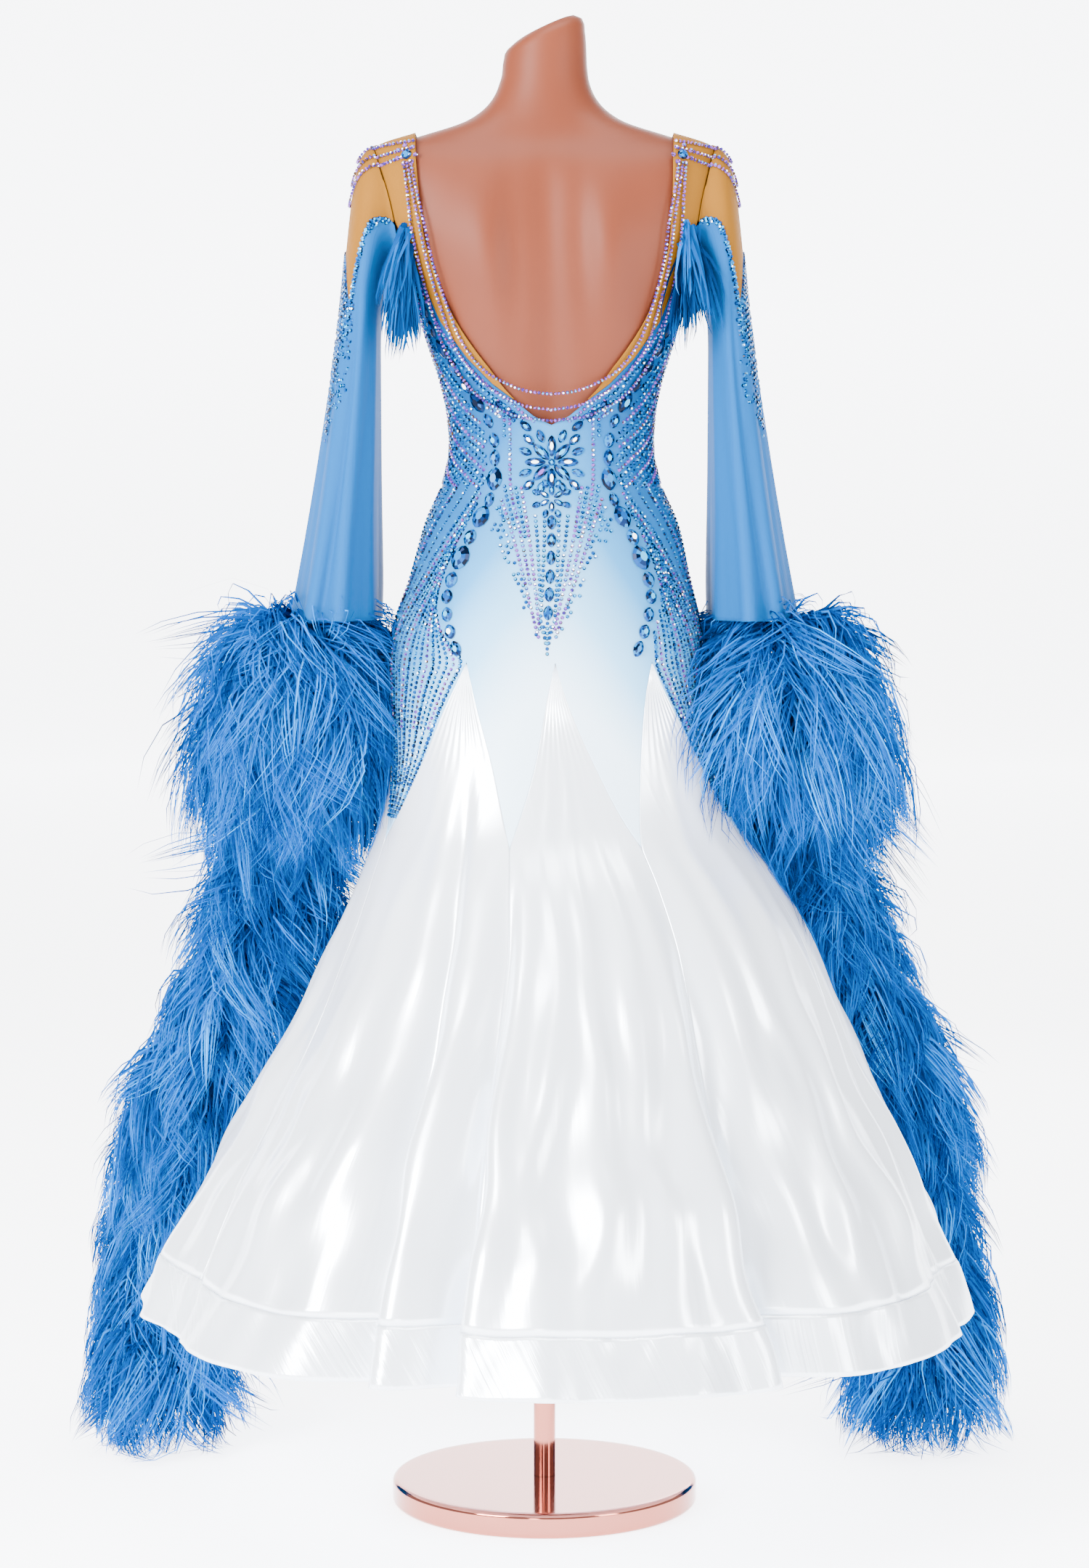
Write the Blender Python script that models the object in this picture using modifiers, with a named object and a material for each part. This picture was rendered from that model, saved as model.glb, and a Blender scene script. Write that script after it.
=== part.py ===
"""A ballroom gown on a limbless dress form and its stand, in metres with +Z up.

The origin is the middle of the base's underside. The gown's back faces -Y and its front +Y. Each cut
piece of the gown is a thin wall on one shared surface, so that neighbours meet along the same line with a
small gap. A place on the gown is given by its turn (degrees round the body from the middle of the back
towards +X) and its height.
"""

import math

import bmesh
import bpy
import numpy as np

# Driving dimensions

GAP = 0.0003  # between neighbouring pieces
TONGUE_GAP = 0.00045  # below the bodice's slanted lower edge, measured upright
TOP_GAP = 0.0009  # above its upper edge, which crosses between the yoke's rows
CLOTH = 0.0015  # the wall of every single layer of cloth
HEM_CLOTH = 0.0022  # the doubled hem band
FORM_CLEARANCE = 0.0038  # between the form and the cloth's inner face
HEM_HEIGHT = 0.232
HEM_BAND_TOP = 0.294
APEX_HEIGHT = 0.990  # where each godet starts
APEX_CUT = 0.006  # what is cut off its point
V_HEIGHT = 1.258  # the lowest point of the open back
RISE_SHARES = (0.2, 0.4, 0.58, 0.74, 0.88, 1.0)  # rows from the belt to the upper edge
BELT_HEIGHTS = (1.020, 1.080, 1.147, 1.190, 1.214, 1.238)  # level rows round the bodice

BASE_RADIUS = 0.1785
BASE_HEIGHT = 0.029
BASE_ROUNDING = 0.006
POLE_RADIUS = 0.01285
SHOULDER_CLEARANCE = 0.0030  # the form's shoulders lie this far below the cloth
FORM_FOOT = 0.860  # the form's flat underside
NECK_SLANT = 0.48  # rise of the neck's cut top for each metre towards +X
NECK_SLANT_FROM = 1.650

ROUNDING_STEPS = 4
BASE_STEPS = 32
POLE_STEPS = 24
FORM_COLUMNS = 32
BODICE_SPAN, SKIRT_SPAN = 17.0, 12.0  # degrees between the columns of bodice and skirt, at most
NEAR_COLUMNS = 1.6  # and at least
CREASE = 40.0  # edges that bend more than this many degrees stay sharp

BLUE = (0.078, 0.376, 0.913)
WHITE = (0.90, 0.92, 0.96)
NUDE = (0.60, 0.36, 0.13)
FEATHER = (0.045, 0.305, 0.871)
DARK_FEATHER = (0.020, 0.165, 0.60)
STONE = (0.25, 0.45, 0.90)
FORM_SKIN = (0.61, 0.26, 0.19)
ROSE_GOLD = (0.80, 0.50, 0.42)


def table(columns, rows):
    """Named columns over rows of numbers."""
    values = np.array(rows, float)
    return {name: values[:, at] for at, name in enumerate(columns.split())}


# The gown's inner face: half width at the sides, depth at the back and the front, the power of the
# superellipse that joins them, and how far the section has swung towards +X.
GOWN = table("height half_width back front power swing", [
    (0.232, 0.4880, 0.486, 0.484, 2.00, 0.020),
    (0.300, 0.4570, 0.456, 0.454, 2.00, 0.023),
    (0.400, 0.4100, 0.410, 0.407, 2.00, 0.026),
    (0.481, 0.3640, 0.364, 0.361, 2.00, 0.028),
    (0.570, 0.3180, 0.312, 0.308, 2.00, 0.032),
    (0.663, 0.2765, 0.262, 0.256, 2.02, 0.034),
    (0.740, 0.2370, 0.218, 0.208, 2.06, 0.027),
    (0.800, 0.2065, 0.178, 0.164, 2.10, 0.018),
    (0.870, 0.1880, 0.150, 0.134, 2.20, 0.012),
    (0.950, 0.1815, 0.134, 0.117, 2.30, 0.004),
    (1.020, 0.1770, 0.127, 0.108, 2.30, 0.003),
    (1.080, 0.1600, 0.114, 0.103, 2.30, 0.006),
    (1.147, 0.1420, 0.094, 0.099, 2.30, 0.008),
    (1.190, 0.1240, 0.082, 0.096, 2.30, 0.008),
    (1.235, 0.1150, 0.077, 0.094, 2.30, 0.008),
    (1.290, 0.1205, 0.080, 0.100, 2.30, 0.0075),
    (1.340, 0.1350, 0.089, 0.117, 2.35, 0.007),
    (1.390, 0.1500, 0.097, 0.128, 2.50, 0.006),
    (1.446, 0.1670, 0.100, 0.118, 2.90, 0.004),
    (1.490, 0.1820, 0.097, 0.100, 3.20, 0.002),
    (1.530, 0.1910, 0.089, 0.084, 3.20, 0.001),
    (1.560, 0.1940, 0.078, 0.072, 3.00, 0.000),
    (1.576, 0.1890, 0.068, 0.062, 2.70, 0.000),
    (1.590, 0.1470, 0.058, 0.052, 2.40, 0.000),
])

# The form's own sections, below the gown's seat at the hips and above its shoulders.
FORM_FOOT_ROWS = table("height half_width back front power", [
    (0.860, 0.150, 0.100, 0.090, 2.3),
    (0.930, 0.166, 0.113, 0.100, 2.3),
])
NECK_ROWS = table("height half_width back front power", [
    (1.602, 0.0960, 0.054, 0.048, 2.2),
    (1.614, 0.0750, 0.051, 0.046, 2.0),
    (1.628, 0.0610, 0.049, 0.046, 2.0),
    (1.650, 0.0510, 0.047, 0.045, 2.0),
    (1.690, 0.0465, 0.044, 0.043, 2.0),
    (1.703, 0.0430, 0.041, 0.040, 2.0),
    (1.709, 0.0340, 0.032, 0.031, 2.0),
])
NECK_TOP = 1.711
SHOULDER_HEIGHT = 1.570  # where the sections turn in, over the shoulders
FORM_HIDDEN_FROM = 0.99  # above this height the form follows the gown's own sections

# The godets, round the skirt from the left side: where each starts, and the seam on its far side, which runs
# from the tip of the tongue between two godets to the hem in the bottom of a fold. A fold's lean carries its
# bottom sideways, under its neighbour.
GODETS = table("apex_turn tip_turn hem_turn tip_height depth width lean", [
    (-90.0, -72.0, -68.0, 0.785, 0.022, 9.0, 0.0),
    (-37.5, -18.0, -20.2, 0.785, 0.060, 4.2, 6.2),
    (4.0, 27.0, 35.5, 0.785, 0.066, 4.6, -6.8),
    (48.0, 76.0, 74.0, 0.785, 0.022, 9.0, 0.0),
    (90.0, 112.0, 113.0, 0.785, 0.055, 5.0, 5.5),
    (135.0, 157.0, 156.0, 0.785, 0.058, 4.6, -6.0),
    (180.0, 203.0, 204.0, 0.785, 0.058, 4.6, 6.0),
    (225.0, 248.0, 247.0, 0.785, 0.055, 5.0, -5.5),
])
GODET_NAMES = ("left", "back_left", "back", "back_right", "right", "front_right", "front", "front_left")

# Folds that lie inside one godet.
LOOSE_FOLDS = table("start top_turn hem_turn depth width lean", [
    (0.880, -37.0, -31.5, 0.050, 4.0, 5.6),
    (0.560, 92.0, 93.0, 0.030, 6.0, 3.0),
    (0.600, 178.0, 181.0, 0.034, 6.0, -3.5),
])
FOLD_NODES = (0.0, 0.5, 1.05, 1.8)  # columns on each side of a fold, in its widths
TONGUE_HEIGHTS = (0.925, 0.85, 0.785)  # level rows that the tongues' edges and the godets share
SKIRT_HEIGHTS = (0.70, 0.60, 0.50, 0.395)

# Half widths of the open back, on the neckline, and the corners of the seam between mesh and bodice.
NECK_BACK = table("half_width height", [
    (0.0400, 1.2920), (0.0600, 1.3110), (0.0840, 1.3400), (0.1120, 1.3850),
    (0.1370, 1.4600), (0.1405, 1.4870), (0.1425, 1.5120), (0.1440, 1.5360),
    (0.1453, 1.5600), (0.1460, 1.5760), (0.1465, 1.5855), (0.1470, 1.5897),
])
NECK_FRONT = table("half_width height", [
    (0.1120, 1.5150), (0.1280, 1.5400), (0.1390, 1.5600),
    (0.1440, 1.5770), (0.1460, 1.5860), (0.1470, 1.5897),
])
YOKE_BACK_ANGLES = (111, 97, 83, 67, 50, 33, 17, 0)  # its rows on the armhole
YOKE_FRONT_ANGLES = (111, 88, 62, 38, 19, 0)
YOKE_ACROSS = 4
EDGE_STEPS = 5  # columns along each straight part of the bodice's upper edge
UNDERARM_STEPS = 7
ARM_CORNER = (0.1703, 1.4874)  # where yoke, bodice and sleeve meet
BACK_TOP = table("half_width height", [
    (0.0, V_HEIGHT), (0.0200, 1.2680), (0.0420, 1.2860), (0.0660, 1.3040), (0.0940, 1.3330),
    (0.1240, 1.3750), ARM_CORNER,
])
YOKE_FOOT = 2  # the row of that edge where the mesh starts
FRONT_TOP = table("half_width height", [
    (0.0, 1.440), (0.050, 1.448), (0.088, 1.474), (0.112, 1.511), ARM_CORNER,
])

# The armhole: an upright oval on the shoulder's end.
ARMHOLE_TOP, ARMHOLE_FOOT = 1.575, 1.446
ARMHOLE_DIP = 0.0125  # how far its front and back edges lie in from the shoulder's end
ARM_CORNER_ANGLE = 111.0
SIDE_SEAM_RADIUS = 0.15

# The sleeve's edges: its outer edge from the shoulder's end and its inner edge from under the arm.
SLEEVE = table("outer_x outer_z inner_x inner_z mid_y half_depth", [
    (0.1920, 1.577, 0.168, 1.445, 0.000, 0.050),
    (0.2030, 1.571, 0.173, 1.436, 0.000, 0.057),
    (0.2135, 1.550, 0.179, 1.422, 0.001, 0.062),
    (0.2205, 1.508, 0.185, 1.400, 0.002, 0.065),
    (0.2265, 1.455, 0.189, 1.372, 0.004, 0.067),
    (0.2330, 1.395, 0.190, 1.330, 0.008, 0.071),
    (0.2430, 1.320, 0.190, 1.270, 0.012, 0.079),
    (0.2550, 1.240, 0.190, 1.207, 0.018, 0.090),
    (0.2680, 1.160, 0.190, 1.145, 0.023, 0.102),
    (0.2810, 1.090, 0.190, 1.086, 0.028, 0.113),
    (0.2920, 1.035, 0.191, 1.035, 0.030, 0.120),
])
SLEEVE_ANGLES = (0, 21, 42, 62, 79, 95, 111, 130, 148, 165, 180)  # from the outer edge, on each side
SLEEVE_ROWS = 8
CAP_ROWS = 3
CAP_SEAM, CAP_TURN = 0.030, 1.60  # what is left free at the cap's seam, in rows and in degrees
CAP_EDGE = table("angle row", [(0.0, 3.9), (30.0, 4.15), (62.0, 4.75), (85.0, 2.2), (111.0, 0.16)])
SLEEVE_WAVE = 0.07  # soft lengthwise waves that grow towards the cuff, as a share of its half width
SLEEVE_WAVES = 7
SLEEVE_HOLD = 1.6  # rows over which the sleeve turns from the armhole's edge to its own shape

# The feather cuff's ring below the sleeve, and the float that hangs from the cuff.
CUFF_OUTER = table("height x y half_width half_depth", [
    (0.785, 0.3120, 0.098, 0.062, 0.080),
    (0.880, 0.2950, 0.062, 0.081, 0.110),
    (0.985, 0.2760, 0.034, 0.083, 0.128),
])
CUFF_INNER = table("height x y half_width half_depth", [
    (0.795, 0.3120, 0.098, 0.045, 0.062),
    (0.890, 0.2930, 0.058, 0.060, 0.090),
])
CUFF_TOP_ROW = 9.52  # the cuff's ring wraps the sleeve from this row to its end
CUFF_THICKNESS, CUFF_THINNEST = 0.011, 0.35  # and that share of it where it faces the hips
FLOAT_PATH = table("height x y radius", [
    (0.100, 0.4680, 0.240, 0.034),
    (0.160, 0.4820, 0.292, 0.050),
    (0.240, 0.4720, 0.345, 0.050),
    (0.330, 0.4560, 0.310, 0.050),
    (0.430, 0.4420, 0.248, 0.050),
    (0.530, 0.4080, 0.186, 0.050),
    (0.630, 0.3560, 0.148, 0.049),
    (0.722, 0.3180, 0.118, 0.036),
    (0.748, 0.3120, 0.112, 0.012),
    (0.800, 0.3040, 0.088, 0.005),
    (0.920, 0.2920, 0.048, 0.005),
    (1.036, 0.2858, 0.030, 0.005),
    (1.052, 0.2828, 0.030, 0.005),
])
FLOAT_COLUMNS = 8
FLOAT_LOCK_ROWS = 7
LOCK_REACH = 0.036
LOCK_DROP = 0.074
WAIST_SIZE = 0.70  # a lock's waist against its root
WAIST_OUT, WAIST_DOWN = 0.62, 0.34  # and its place, as shares of the way to the tip
PRESSED = 0.12  # share of the reach that is left where feathers lie against the gown
FREE_FROM = 0.55  # how early, from the pressed side round, the locks stand free
SHORTEST_DROP = 0.4  # share of the drop that a pressed lock keeps
FLOOR_CLEARANCE = 0.022
TUFT_REACH, TUFT_DROP, TUFT_SPREAD = 0.010, 0.085, 0.004
TUFT_ANGLES = (118.0, 125.0, 132.0, 139.0, 146.0, 153.0, 160.0)
TUFT_INSET, TUFT_WIDTH, TUFT_THICKNESS = 0.006, 0.009, 0.003
TUFT_SLANT = 0.004  # how far its inner edge hangs below its outer
TUFT_SEAT = 0.0007  # above the cloth

# Set stones that stand up from the cloth.
STONE_SEAT = 0.0012
GARLAND = table("x height half_width", [
    (0.1380, 1.3860, 0.004), (0.1260, 1.3540, 0.006), (0.1090, 1.3250, 0.008), (0.0840, 1.2850, 0.009),
    (0.0690, 1.2580, 0.010), (0.0640, 1.2200, 0.011), (0.0645, 1.1950, 0.011), (0.0710, 1.1700, 0.011),
    (0.0920, 1.1290, 0.011), (0.1110, 1.0820, 0.012), (0.1143, 1.0610, 0.010), (0.1128, 1.0420, 0.009),
    (0.1020, 1.0040, 0.007),
])
GARLAND_STEPS = 24
GARLAND_SCALLOP = 0.25
GARLAND_CROWN = 0.0034
GARLAND_LEVELS = (0.3, 1.0, 0.3)  # the band's height across it, in crowns
BROOCH_LEVELS = ((1.0, 0.0), (1.0, 0.3), (0.5, 0.8))  # a flower's rings: shares of its radius and crown
ROSETTE = (0.0, 1.212, 0.039, 8, 0.52)  # x, height, radius, petals, share of the radius between petals
SHOULDER_JEWEL = (0.155, 1.5610, 0.0150, 6, 0.93)
JEWEL_CROWN = 0.0045


# Reading the tables

def smooth(of, column, at, key="height"):
    """A table's column at any place, by a cubic through the rows that never overshoots them."""
    keys, values = of[key], of[column]
    at = np.clip(at, keys[0], keys[-1])
    steps = np.diff(keys)
    rises = np.diff(values) / steps
    slopes = np.concatenate([rises[:1], (rises[1:] + rises[:-1]) / 2, rises[-1:]])
    turning = np.concatenate([[False], rises[1:] * rises[:-1] <= 0, [False]])
    slopes[turning] = 0
    row = np.clip(np.searchsorted(keys, at) - 1, 0, len(steps) - 1)
    t = (at - keys[row]) / steps[row]
    start, end = values[row], values[row + 1]
    leave, arrive = slopes[row] * steps[row], slopes[row + 1] * steps[row]
    cubic = (2 * start - 2 * end + leave + arrive) * t**3 + (3 * end - 3 * start - 2 * leave - arrive) * t**2
    return cubic + leave * t + start


# The gown's surface

def fold_progress(start, height):
    return np.clip((start - height) / (start - HEM_HEIGHT), 0, 1)


def fold_pull(turn, height):
    """How far the folds draw the cloth in, and how far they carry it sideways, in metres and degrees."""
    inward = np.zeros(np.broadcast(turn, height).shape)
    sideways = np.zeros_like(inward)
    sets = ((GODETS, "tip_height", "tip_turn"), (LOOSE_FOLDS, "start", "top_turn"))
    for folds, start_column, top_column in sets:
        for row in range(len(folds["depth"])):
            progress = fold_progress(folds[start_column][row], height)
            middle = folds[top_column][row] + progress * (folds["hem_turn"][row] - folds[top_column][row])
            away = (turn - middle + 180) % 360 - 180
            bump = np.exp(-((away / folds["width"][row]) ** 2)) * progress
            inward += folds["depth"][row] * bump
            sideways += folds["lean"][row] * bump
    return inward, sideways


def superellipse(turn, half_width, back, front, power):
    """A closed section: x and y at a turn in degrees, 0 at the back's middle."""
    across, along = np.sin(np.radians(turn)), np.cos(np.radians(turn))
    depth = np.where(along > 0, back, front)
    radius = (np.abs(across / half_width) ** power + np.abs(along / depth) ** power) ** (-1 / power)
    return radius * across, -radius * along


def gown(turn, height):
    """The cloth's inner face."""
    turn, height = np.broadcast_arrays(np.asarray(turn, float), np.asarray(height, float))
    inward, sideways = fold_pull(turn, height)
    half_width = smooth(GOWN, "half_width", height)
    x, y = superellipse(
        turn + sideways, half_width,
        smooth(GOWN, "back", height), smooth(GOWN, "front", height), smooth(GOWN, "power", height),
    )
    share = 1 - inward / half_width
    return np.stack([smooth(GOWN, "swing", height) + x * share, y * share, height], axis=-1)


def lifted(surface, u, v, distance, u_step, v_step, sign=1):
    """Points of a surface moved out along its normal."""
    along_u = surface(u + u_step, v) - surface(u - u_step, v)
    along_v = surface(u, v + v_step) - surface(u, v - v_step)
    normal = sign * np.cross(along_u, along_v)
    normal /= np.linalg.norm(normal, axis=-1, keepdims=True)
    return surface(u, v) + distance * normal


def gown_lifted(turn, height, distance):
    turn, height = np.broadcast_arrays(np.asarray(turn, float), np.asarray(height, float))
    return lifted(gown, turn, height, distance, 0.05, 0.0005)


def turn_at(x, height, front=False):
    """The turn of the place at this x, on the back or on the front."""
    half_width, power = smooth(GOWN, "half_width", height), smooth(GOWN, "power", height)
    depth = np.where(front, smooth(GOWN, "front", height), smooth(GOWN, "back", height))
    reach = np.clip(np.abs(x) / half_width, 0, 1)
    away = depth * (1 - reach**power) ** (1 / power)
    turn = np.degrees(np.arctan2(reach * half_width, away)) * np.sign(x)
    return np.where(front, 180 - turn, turn)


# Solids from grids of points

def material(name, colour, roughness, metallic=0.0):
    made = bpy.data.materials.get(name) or bpy.data.materials.new(name)
    made.use_nodes = True
    shader = made.node_tree.nodes["Principled BSDF"]
    shader.inputs["Base Color"].default_value = (*colour, 1)
    shader.inputs["Roughness"].default_value = roughness
    shader.inputs["Metallic"].default_value = metallic
    return made


def solid(name, points, faces, finish):
    """One object of these points and faces, turned the right way out and shaded smooth."""
    mesh = bpy.data.meshes.new(name)
    mesh.from_pydata([tuple(point) for point in points], [], faces)
    work = bmesh.new()
    work.from_mesh(mesh)
    if work.calc_volume(signed=True) < 0:
        bmesh.ops.reverse_faces(work, faces=work.faces)
    work.to_mesh(mesh)
    work.free()
    mesh.shade_smooth()
    mesh.set_sharp_from_angle(angle=math.radians(CREASE))
    mesh.materials.append(finish)
    made = bpy.data.objects.new(name, mesh)
    bpy.data.collections[COLLECTION].objects.link(made)
    return made


def quads(rows, columns, closed, first=0):
    """The faces of a grid whose points run row by row, column by column."""
    last = columns if closed else columns - 1
    return [
        (first + i * columns + j, first + i * columns + (j + 1) % columns,
         first + (i + 1) * columns + (j + 1) % columns, first + (i + 1) * columns + j)
        for i in range(rows - 1) for j in range(last)
    ]


def rims(rows, columns, closed, first, second):
    """The faces that join the edges of two grids of the same shape."""
    last = columns if closed else columns - 1
    top = (rows - 1) * columns
    faces = []
    for j in range(last):
        k = (j + 1) % columns
        faces.append((first + j, first + k, second + k, second + j))
        faces.append((second + top + j, second + top + k, first + top + k, first + top + j))
    if not closed:
        for i in range(rows - 1):
            a, b = i * columns, (i + 1) * columns
            faces.append((first + a, second + a, second + b, first + b))
            a, b = a + columns - 1, b + columns - 1
            faces.append((second + a, first + a, first + b, second + b))
    return faces


def wall(name, inner, outer, finish, closed=False):
    """A closed wall between two grids of points, rows by columns."""
    rows, columns = inner.shape[:2]
    count = rows * columns
    faces = [face[::-1] for face in quads(rows, columns, closed)]
    faces += quads(rows, columns, closed, first=count)
    faces += rims(rows, columns, closed, 0, count)
    points = np.concatenate([inner.reshape(-1, 3), outer.reshape(-1, 3)])
    return solid(name, points, faces, finish)


def lock_points(corners, fall):
    """A four-sided lock of feathers on four corners: its waist's corners and its tip, which hangs down."""
    middle = corners.mean(axis=0)
    waist = middle + (corners - middle) * WAIST_SIZE + fall * (WAIST_OUT, WAIST_OUT, WAIST_DOWN)
    return np.concatenate([waist, [middle + fall]])


def with_locks(points, faces, lock_faces, fall_of):
    """Replaces each of these faces by a lock that grows from its four corners."""
    points = [np.asarray(point) for point in points]
    for face in lock_faces:
        corners = np.array([points[at] for at in face])
        middle = corners.mean(axis=0)
        first = len(points)
        points.extend(lock_points(corners, fall_of(middle)))
        for k in range(4):
            after = (k + 1) % 4
            faces.append((face[k], face[after], first + after, first + k))
            faces.append((first + k, first + after, first + 4))
    return points, faces


# The stand and the form

def stand_base():
    """A turned disc with rounded edges, its profile run down its outer side."""
    inner = BASE_RADIUS - BASE_ROUNDING
    profile = [(0.0, BASE_HEIGHT)]
    for centre_z, start in ((BASE_HEIGHT - BASE_ROUNDING, 90), (BASE_ROUNDING, 0)):
        for angle in np.radians(np.linspace(start, start - 90, ROUNDING_STEPS)):
            x = inner + BASE_ROUNDING * math.cos(angle)
            profile.append((x, centre_z + BASE_ROUNDING * math.sin(angle)))
    profile.append((0.0, 0.0))
    mesh = bpy.data.meshes.new("stand_base")
    mesh.from_pydata([(x, 0, z) for x, z in profile], [(k, k + 1) for k in range(len(profile) - 1)], [])
    mesh.materials.append(material("rose_gold", ROSE_GOLD, 0.10, 1.0))
    base = bpy.data.objects.new("stand_base", mesh)
    bpy.data.collections[COLLECTION].objects.link(base)
    turned = base.modifiers.new("Turned", "SCREW")
    turned.steps = turned.render_steps = BASE_STEPS
    turned.use_merge_vertices = True
    turned.merge_threshold = 0.0001


def stand_pole():
    foot, top = BASE_HEIGHT + GAP, FORM_FOOT - GAP
    bpy.ops.mesh.primitive_cylinder_add(
        vertices=POLE_STEPS, radius=POLE_RADIUS, depth=top - foot, location=(0, 0, (top + foot) / 2),
    )
    pole = bpy.context.object
    pole.name = pole.data.name = "stand_pole"
    pole.data.shade_smooth()
    pole.data.set_sharp_from_angle(angle=math.radians(CREASE))
    pole.data.materials.append(material("rose_gold", ROSE_GOLD, 0.10, 1.0))
    for collection in pole.users_collection:
        collection.objects.unlink(pole)
    bpy.data.collections[COLLECTION].objects.link(pole)


def form_torso():
    """The form: stacked sections from the hips to the slanted cut of the neck, closed at both ends."""
    turns = np.arange(FORM_COLUMNS) * 360 / FORM_COLUMNS
    rings = []

    def ring(height, half_width, back, front, power):
        x, y = superellipse(turns, half_width, back, front, power)
        x = x + smooth(GOWN, "swing", height)
        rise = NECK_SLANT * np.clip((height - NECK_SLANT_FROM) / (NECK_TOP - NECK_SLANT_FROM), 0, 1)
        rings.append(np.stack([x, y, np.full_like(x, height) + rise * x], axis=-1))

    for row in zip(*FORM_FOOT_ROWS.values()):
        ring(*row)
    for height in GOWN["height"][GOWN["height"] > FORM_HIDDEN_FROM]:
        sizes = [smooth(GOWN, column, height) for column in ("half_width", "back", "front")]
        drop = SHOULDER_CLEARANCE if height > SHOULDER_HEIGHT else 0
        ring(height - drop, *(size - FORM_CLEARANCE for size in sizes), smooth(GOWN, "power", height))
    for row in zip(*NECK_ROWS.values()):
        ring(*row)
    points = np.concatenate(rings)
    faces = quads(len(rings), FORM_COLUMNS, closed=True)
    last = len(points)
    points = np.concatenate([points, [(0, 0, FORM_FOOT), (0, 0, NECK_TOP)]])
    top = (len(rings) - 1) * FORM_COLUMNS
    for j in range(FORM_COLUMNS):
        k = (j + 1) % FORM_COLUMNS
        faces.append((k, j, last))
        faces.append((top + j, top + k, last + 1))
    solid("form_torso", points, faces, material("form_cover", FORM_SKIN, 0.55))


# The bodice

def zigzag():
    """The bodice's lower edge, as turns and heights: down each tongue to its tip and up again."""
    turns, heights = [], []
    apexes = np.append(GODETS["apex_turn"], GODETS["apex_turn"][0] + 360)
    for at, (tip_turn, tip_height) in enumerate(zip(GODETS["tip_turn"], GODETS["tip_height"])):
        levels = [APEX_HEIGHT] + [height for height in TONGUE_HEIGHTS if height >= tip_height]
        share = (APEX_HEIGHT - np.array(levels)) / (APEX_HEIGHT - tip_height)
        turns += list(apexes[at] + share * (tip_turn - apexes[at]))
        turns += list(apexes[at + 1] + share[-2:0:-1] * (tip_turn - apexes[at + 1]))
        heights += levels + levels[-2:0:-1]
    return np.append(turns, apexes[-1]), np.append(heights, APEX_HEIGHT)


def arm_edge(angle, side=1):
    """A point of the armhole's edge as x and height; 0 is the shoulder's end and 180 the underarm."""
    middle, radius = (ARMHOLE_TOP + ARMHOLE_FOOT) / 2, (ARMHOLE_TOP - ARMHOLE_FOOT) / 2
    height = middle + radius * np.cos(np.radians(angle))
    x = smooth(GOWN, "half_width", height) - ARMHOLE_DIP * np.sin(np.radians(angle)) ** 2
    return side * x, height


def top_edge(front):
    """The bodice's upper edge from the middle to the side, as turns from the middle and heights."""
    corners = FRONT_TOP if front else BACK_TOP
    ends = zip(corners["half_width"], corners["half_width"][1:])
    stops = np.concatenate([np.linspace(start, end, EDGE_STEPS)[:-1] for start, end in ends])
    heights = np.interp(stops, corners["half_width"], corners["height"])
    arm_x, arm_height = arm_edge(np.linspace(ARM_CORNER_ANGLE, 180, UNDERARM_STEPS))
    x, height = np.append(stops, arm_x), np.append(heights, arm_height)
    return turn_at(x, height), height


def spread(stops, most):
    """The stops, with even steps of at most this much put in between."""
    stops = np.unique(np.round(stops, 4))
    parts = [np.linspace(a, b, math.ceil((b - a) / most - 1e-9) + 1)[:-1] for a, b in zip(stops, stops[1:])]
    return np.append(np.concatenate(parts), stops[-1])


def drawn_to_corners(turns, corners):
    """The columns' turns at the upper edge: each of its corners has a column of its own, near by."""
    corner_turns = turn_at(corners["half_width"], corners["height"])
    corner_turns = np.concatenate([-corner_turns[:0:-1], corner_turns])
    nearest = []
    for corner in corner_turns:
        first = nearest[-1] + 1 if nearest else 0
        nearest.append(first + int(np.argmin(np.abs(turns[first:] - corner))))
    ends = (turns[0], turns[-1])
    return np.interp(turns, [ends[0], *turns[nearest], ends[1]], [ends[0], *corner_turns, ends[1]])


def bodice(front):
    """One half of the bodice: its tongues, its fitted middle and its rise to the upper edge."""
    edge_turns, edge_heights = top_edge(front)
    low_turns, low_heights = zigzag()
    centre = 180.0 if front else 0.0
    stops = [centre - 90, centre + 90] + [turn for turn in low_turns if abs(turn - centre) < 90]
    turns = spread(stops, BODICE_SPAN)
    top_turns = drawn_to_corners(turns - centre, FRONT_TOP if front else BACK_TOP) + centre
    side_gap = np.degrees(GAP / 2 / SIDE_SEAM_RADIUS)
    turns[0] += side_gap
    turns[-1] -= side_gap
    bottoms = np.interp(turns, low_turns, low_heights) + TONGUE_GAP
    tops = np.interp(np.abs(top_turns - centre), edge_turns, edge_heights) - TOP_GAP
    belt = np.array(BELT_HEIGHTS)
    rise = np.array(RISE_SHARES)
    rows = [bottoms, (bottoms + belt[0]) / 2]
    rows += [np.full(len(turns), height) for height in belt]
    rows += [belt[-1] + share * (tops - belt[-1]) for share in rise]
    heights = np.array(rows)
    drawn = np.append(np.zeros(len(rows) - len(rise)), rise)[:, None]
    turns = turns + drawn * (top_turns - turns)
    name = "bodice_front" if front else "bodice_back"
    wall(name, gown(turns, heights), gown_lifted(turns, heights, CLOTH), material("bodice_satin", BLUE, 0.32))


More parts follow.
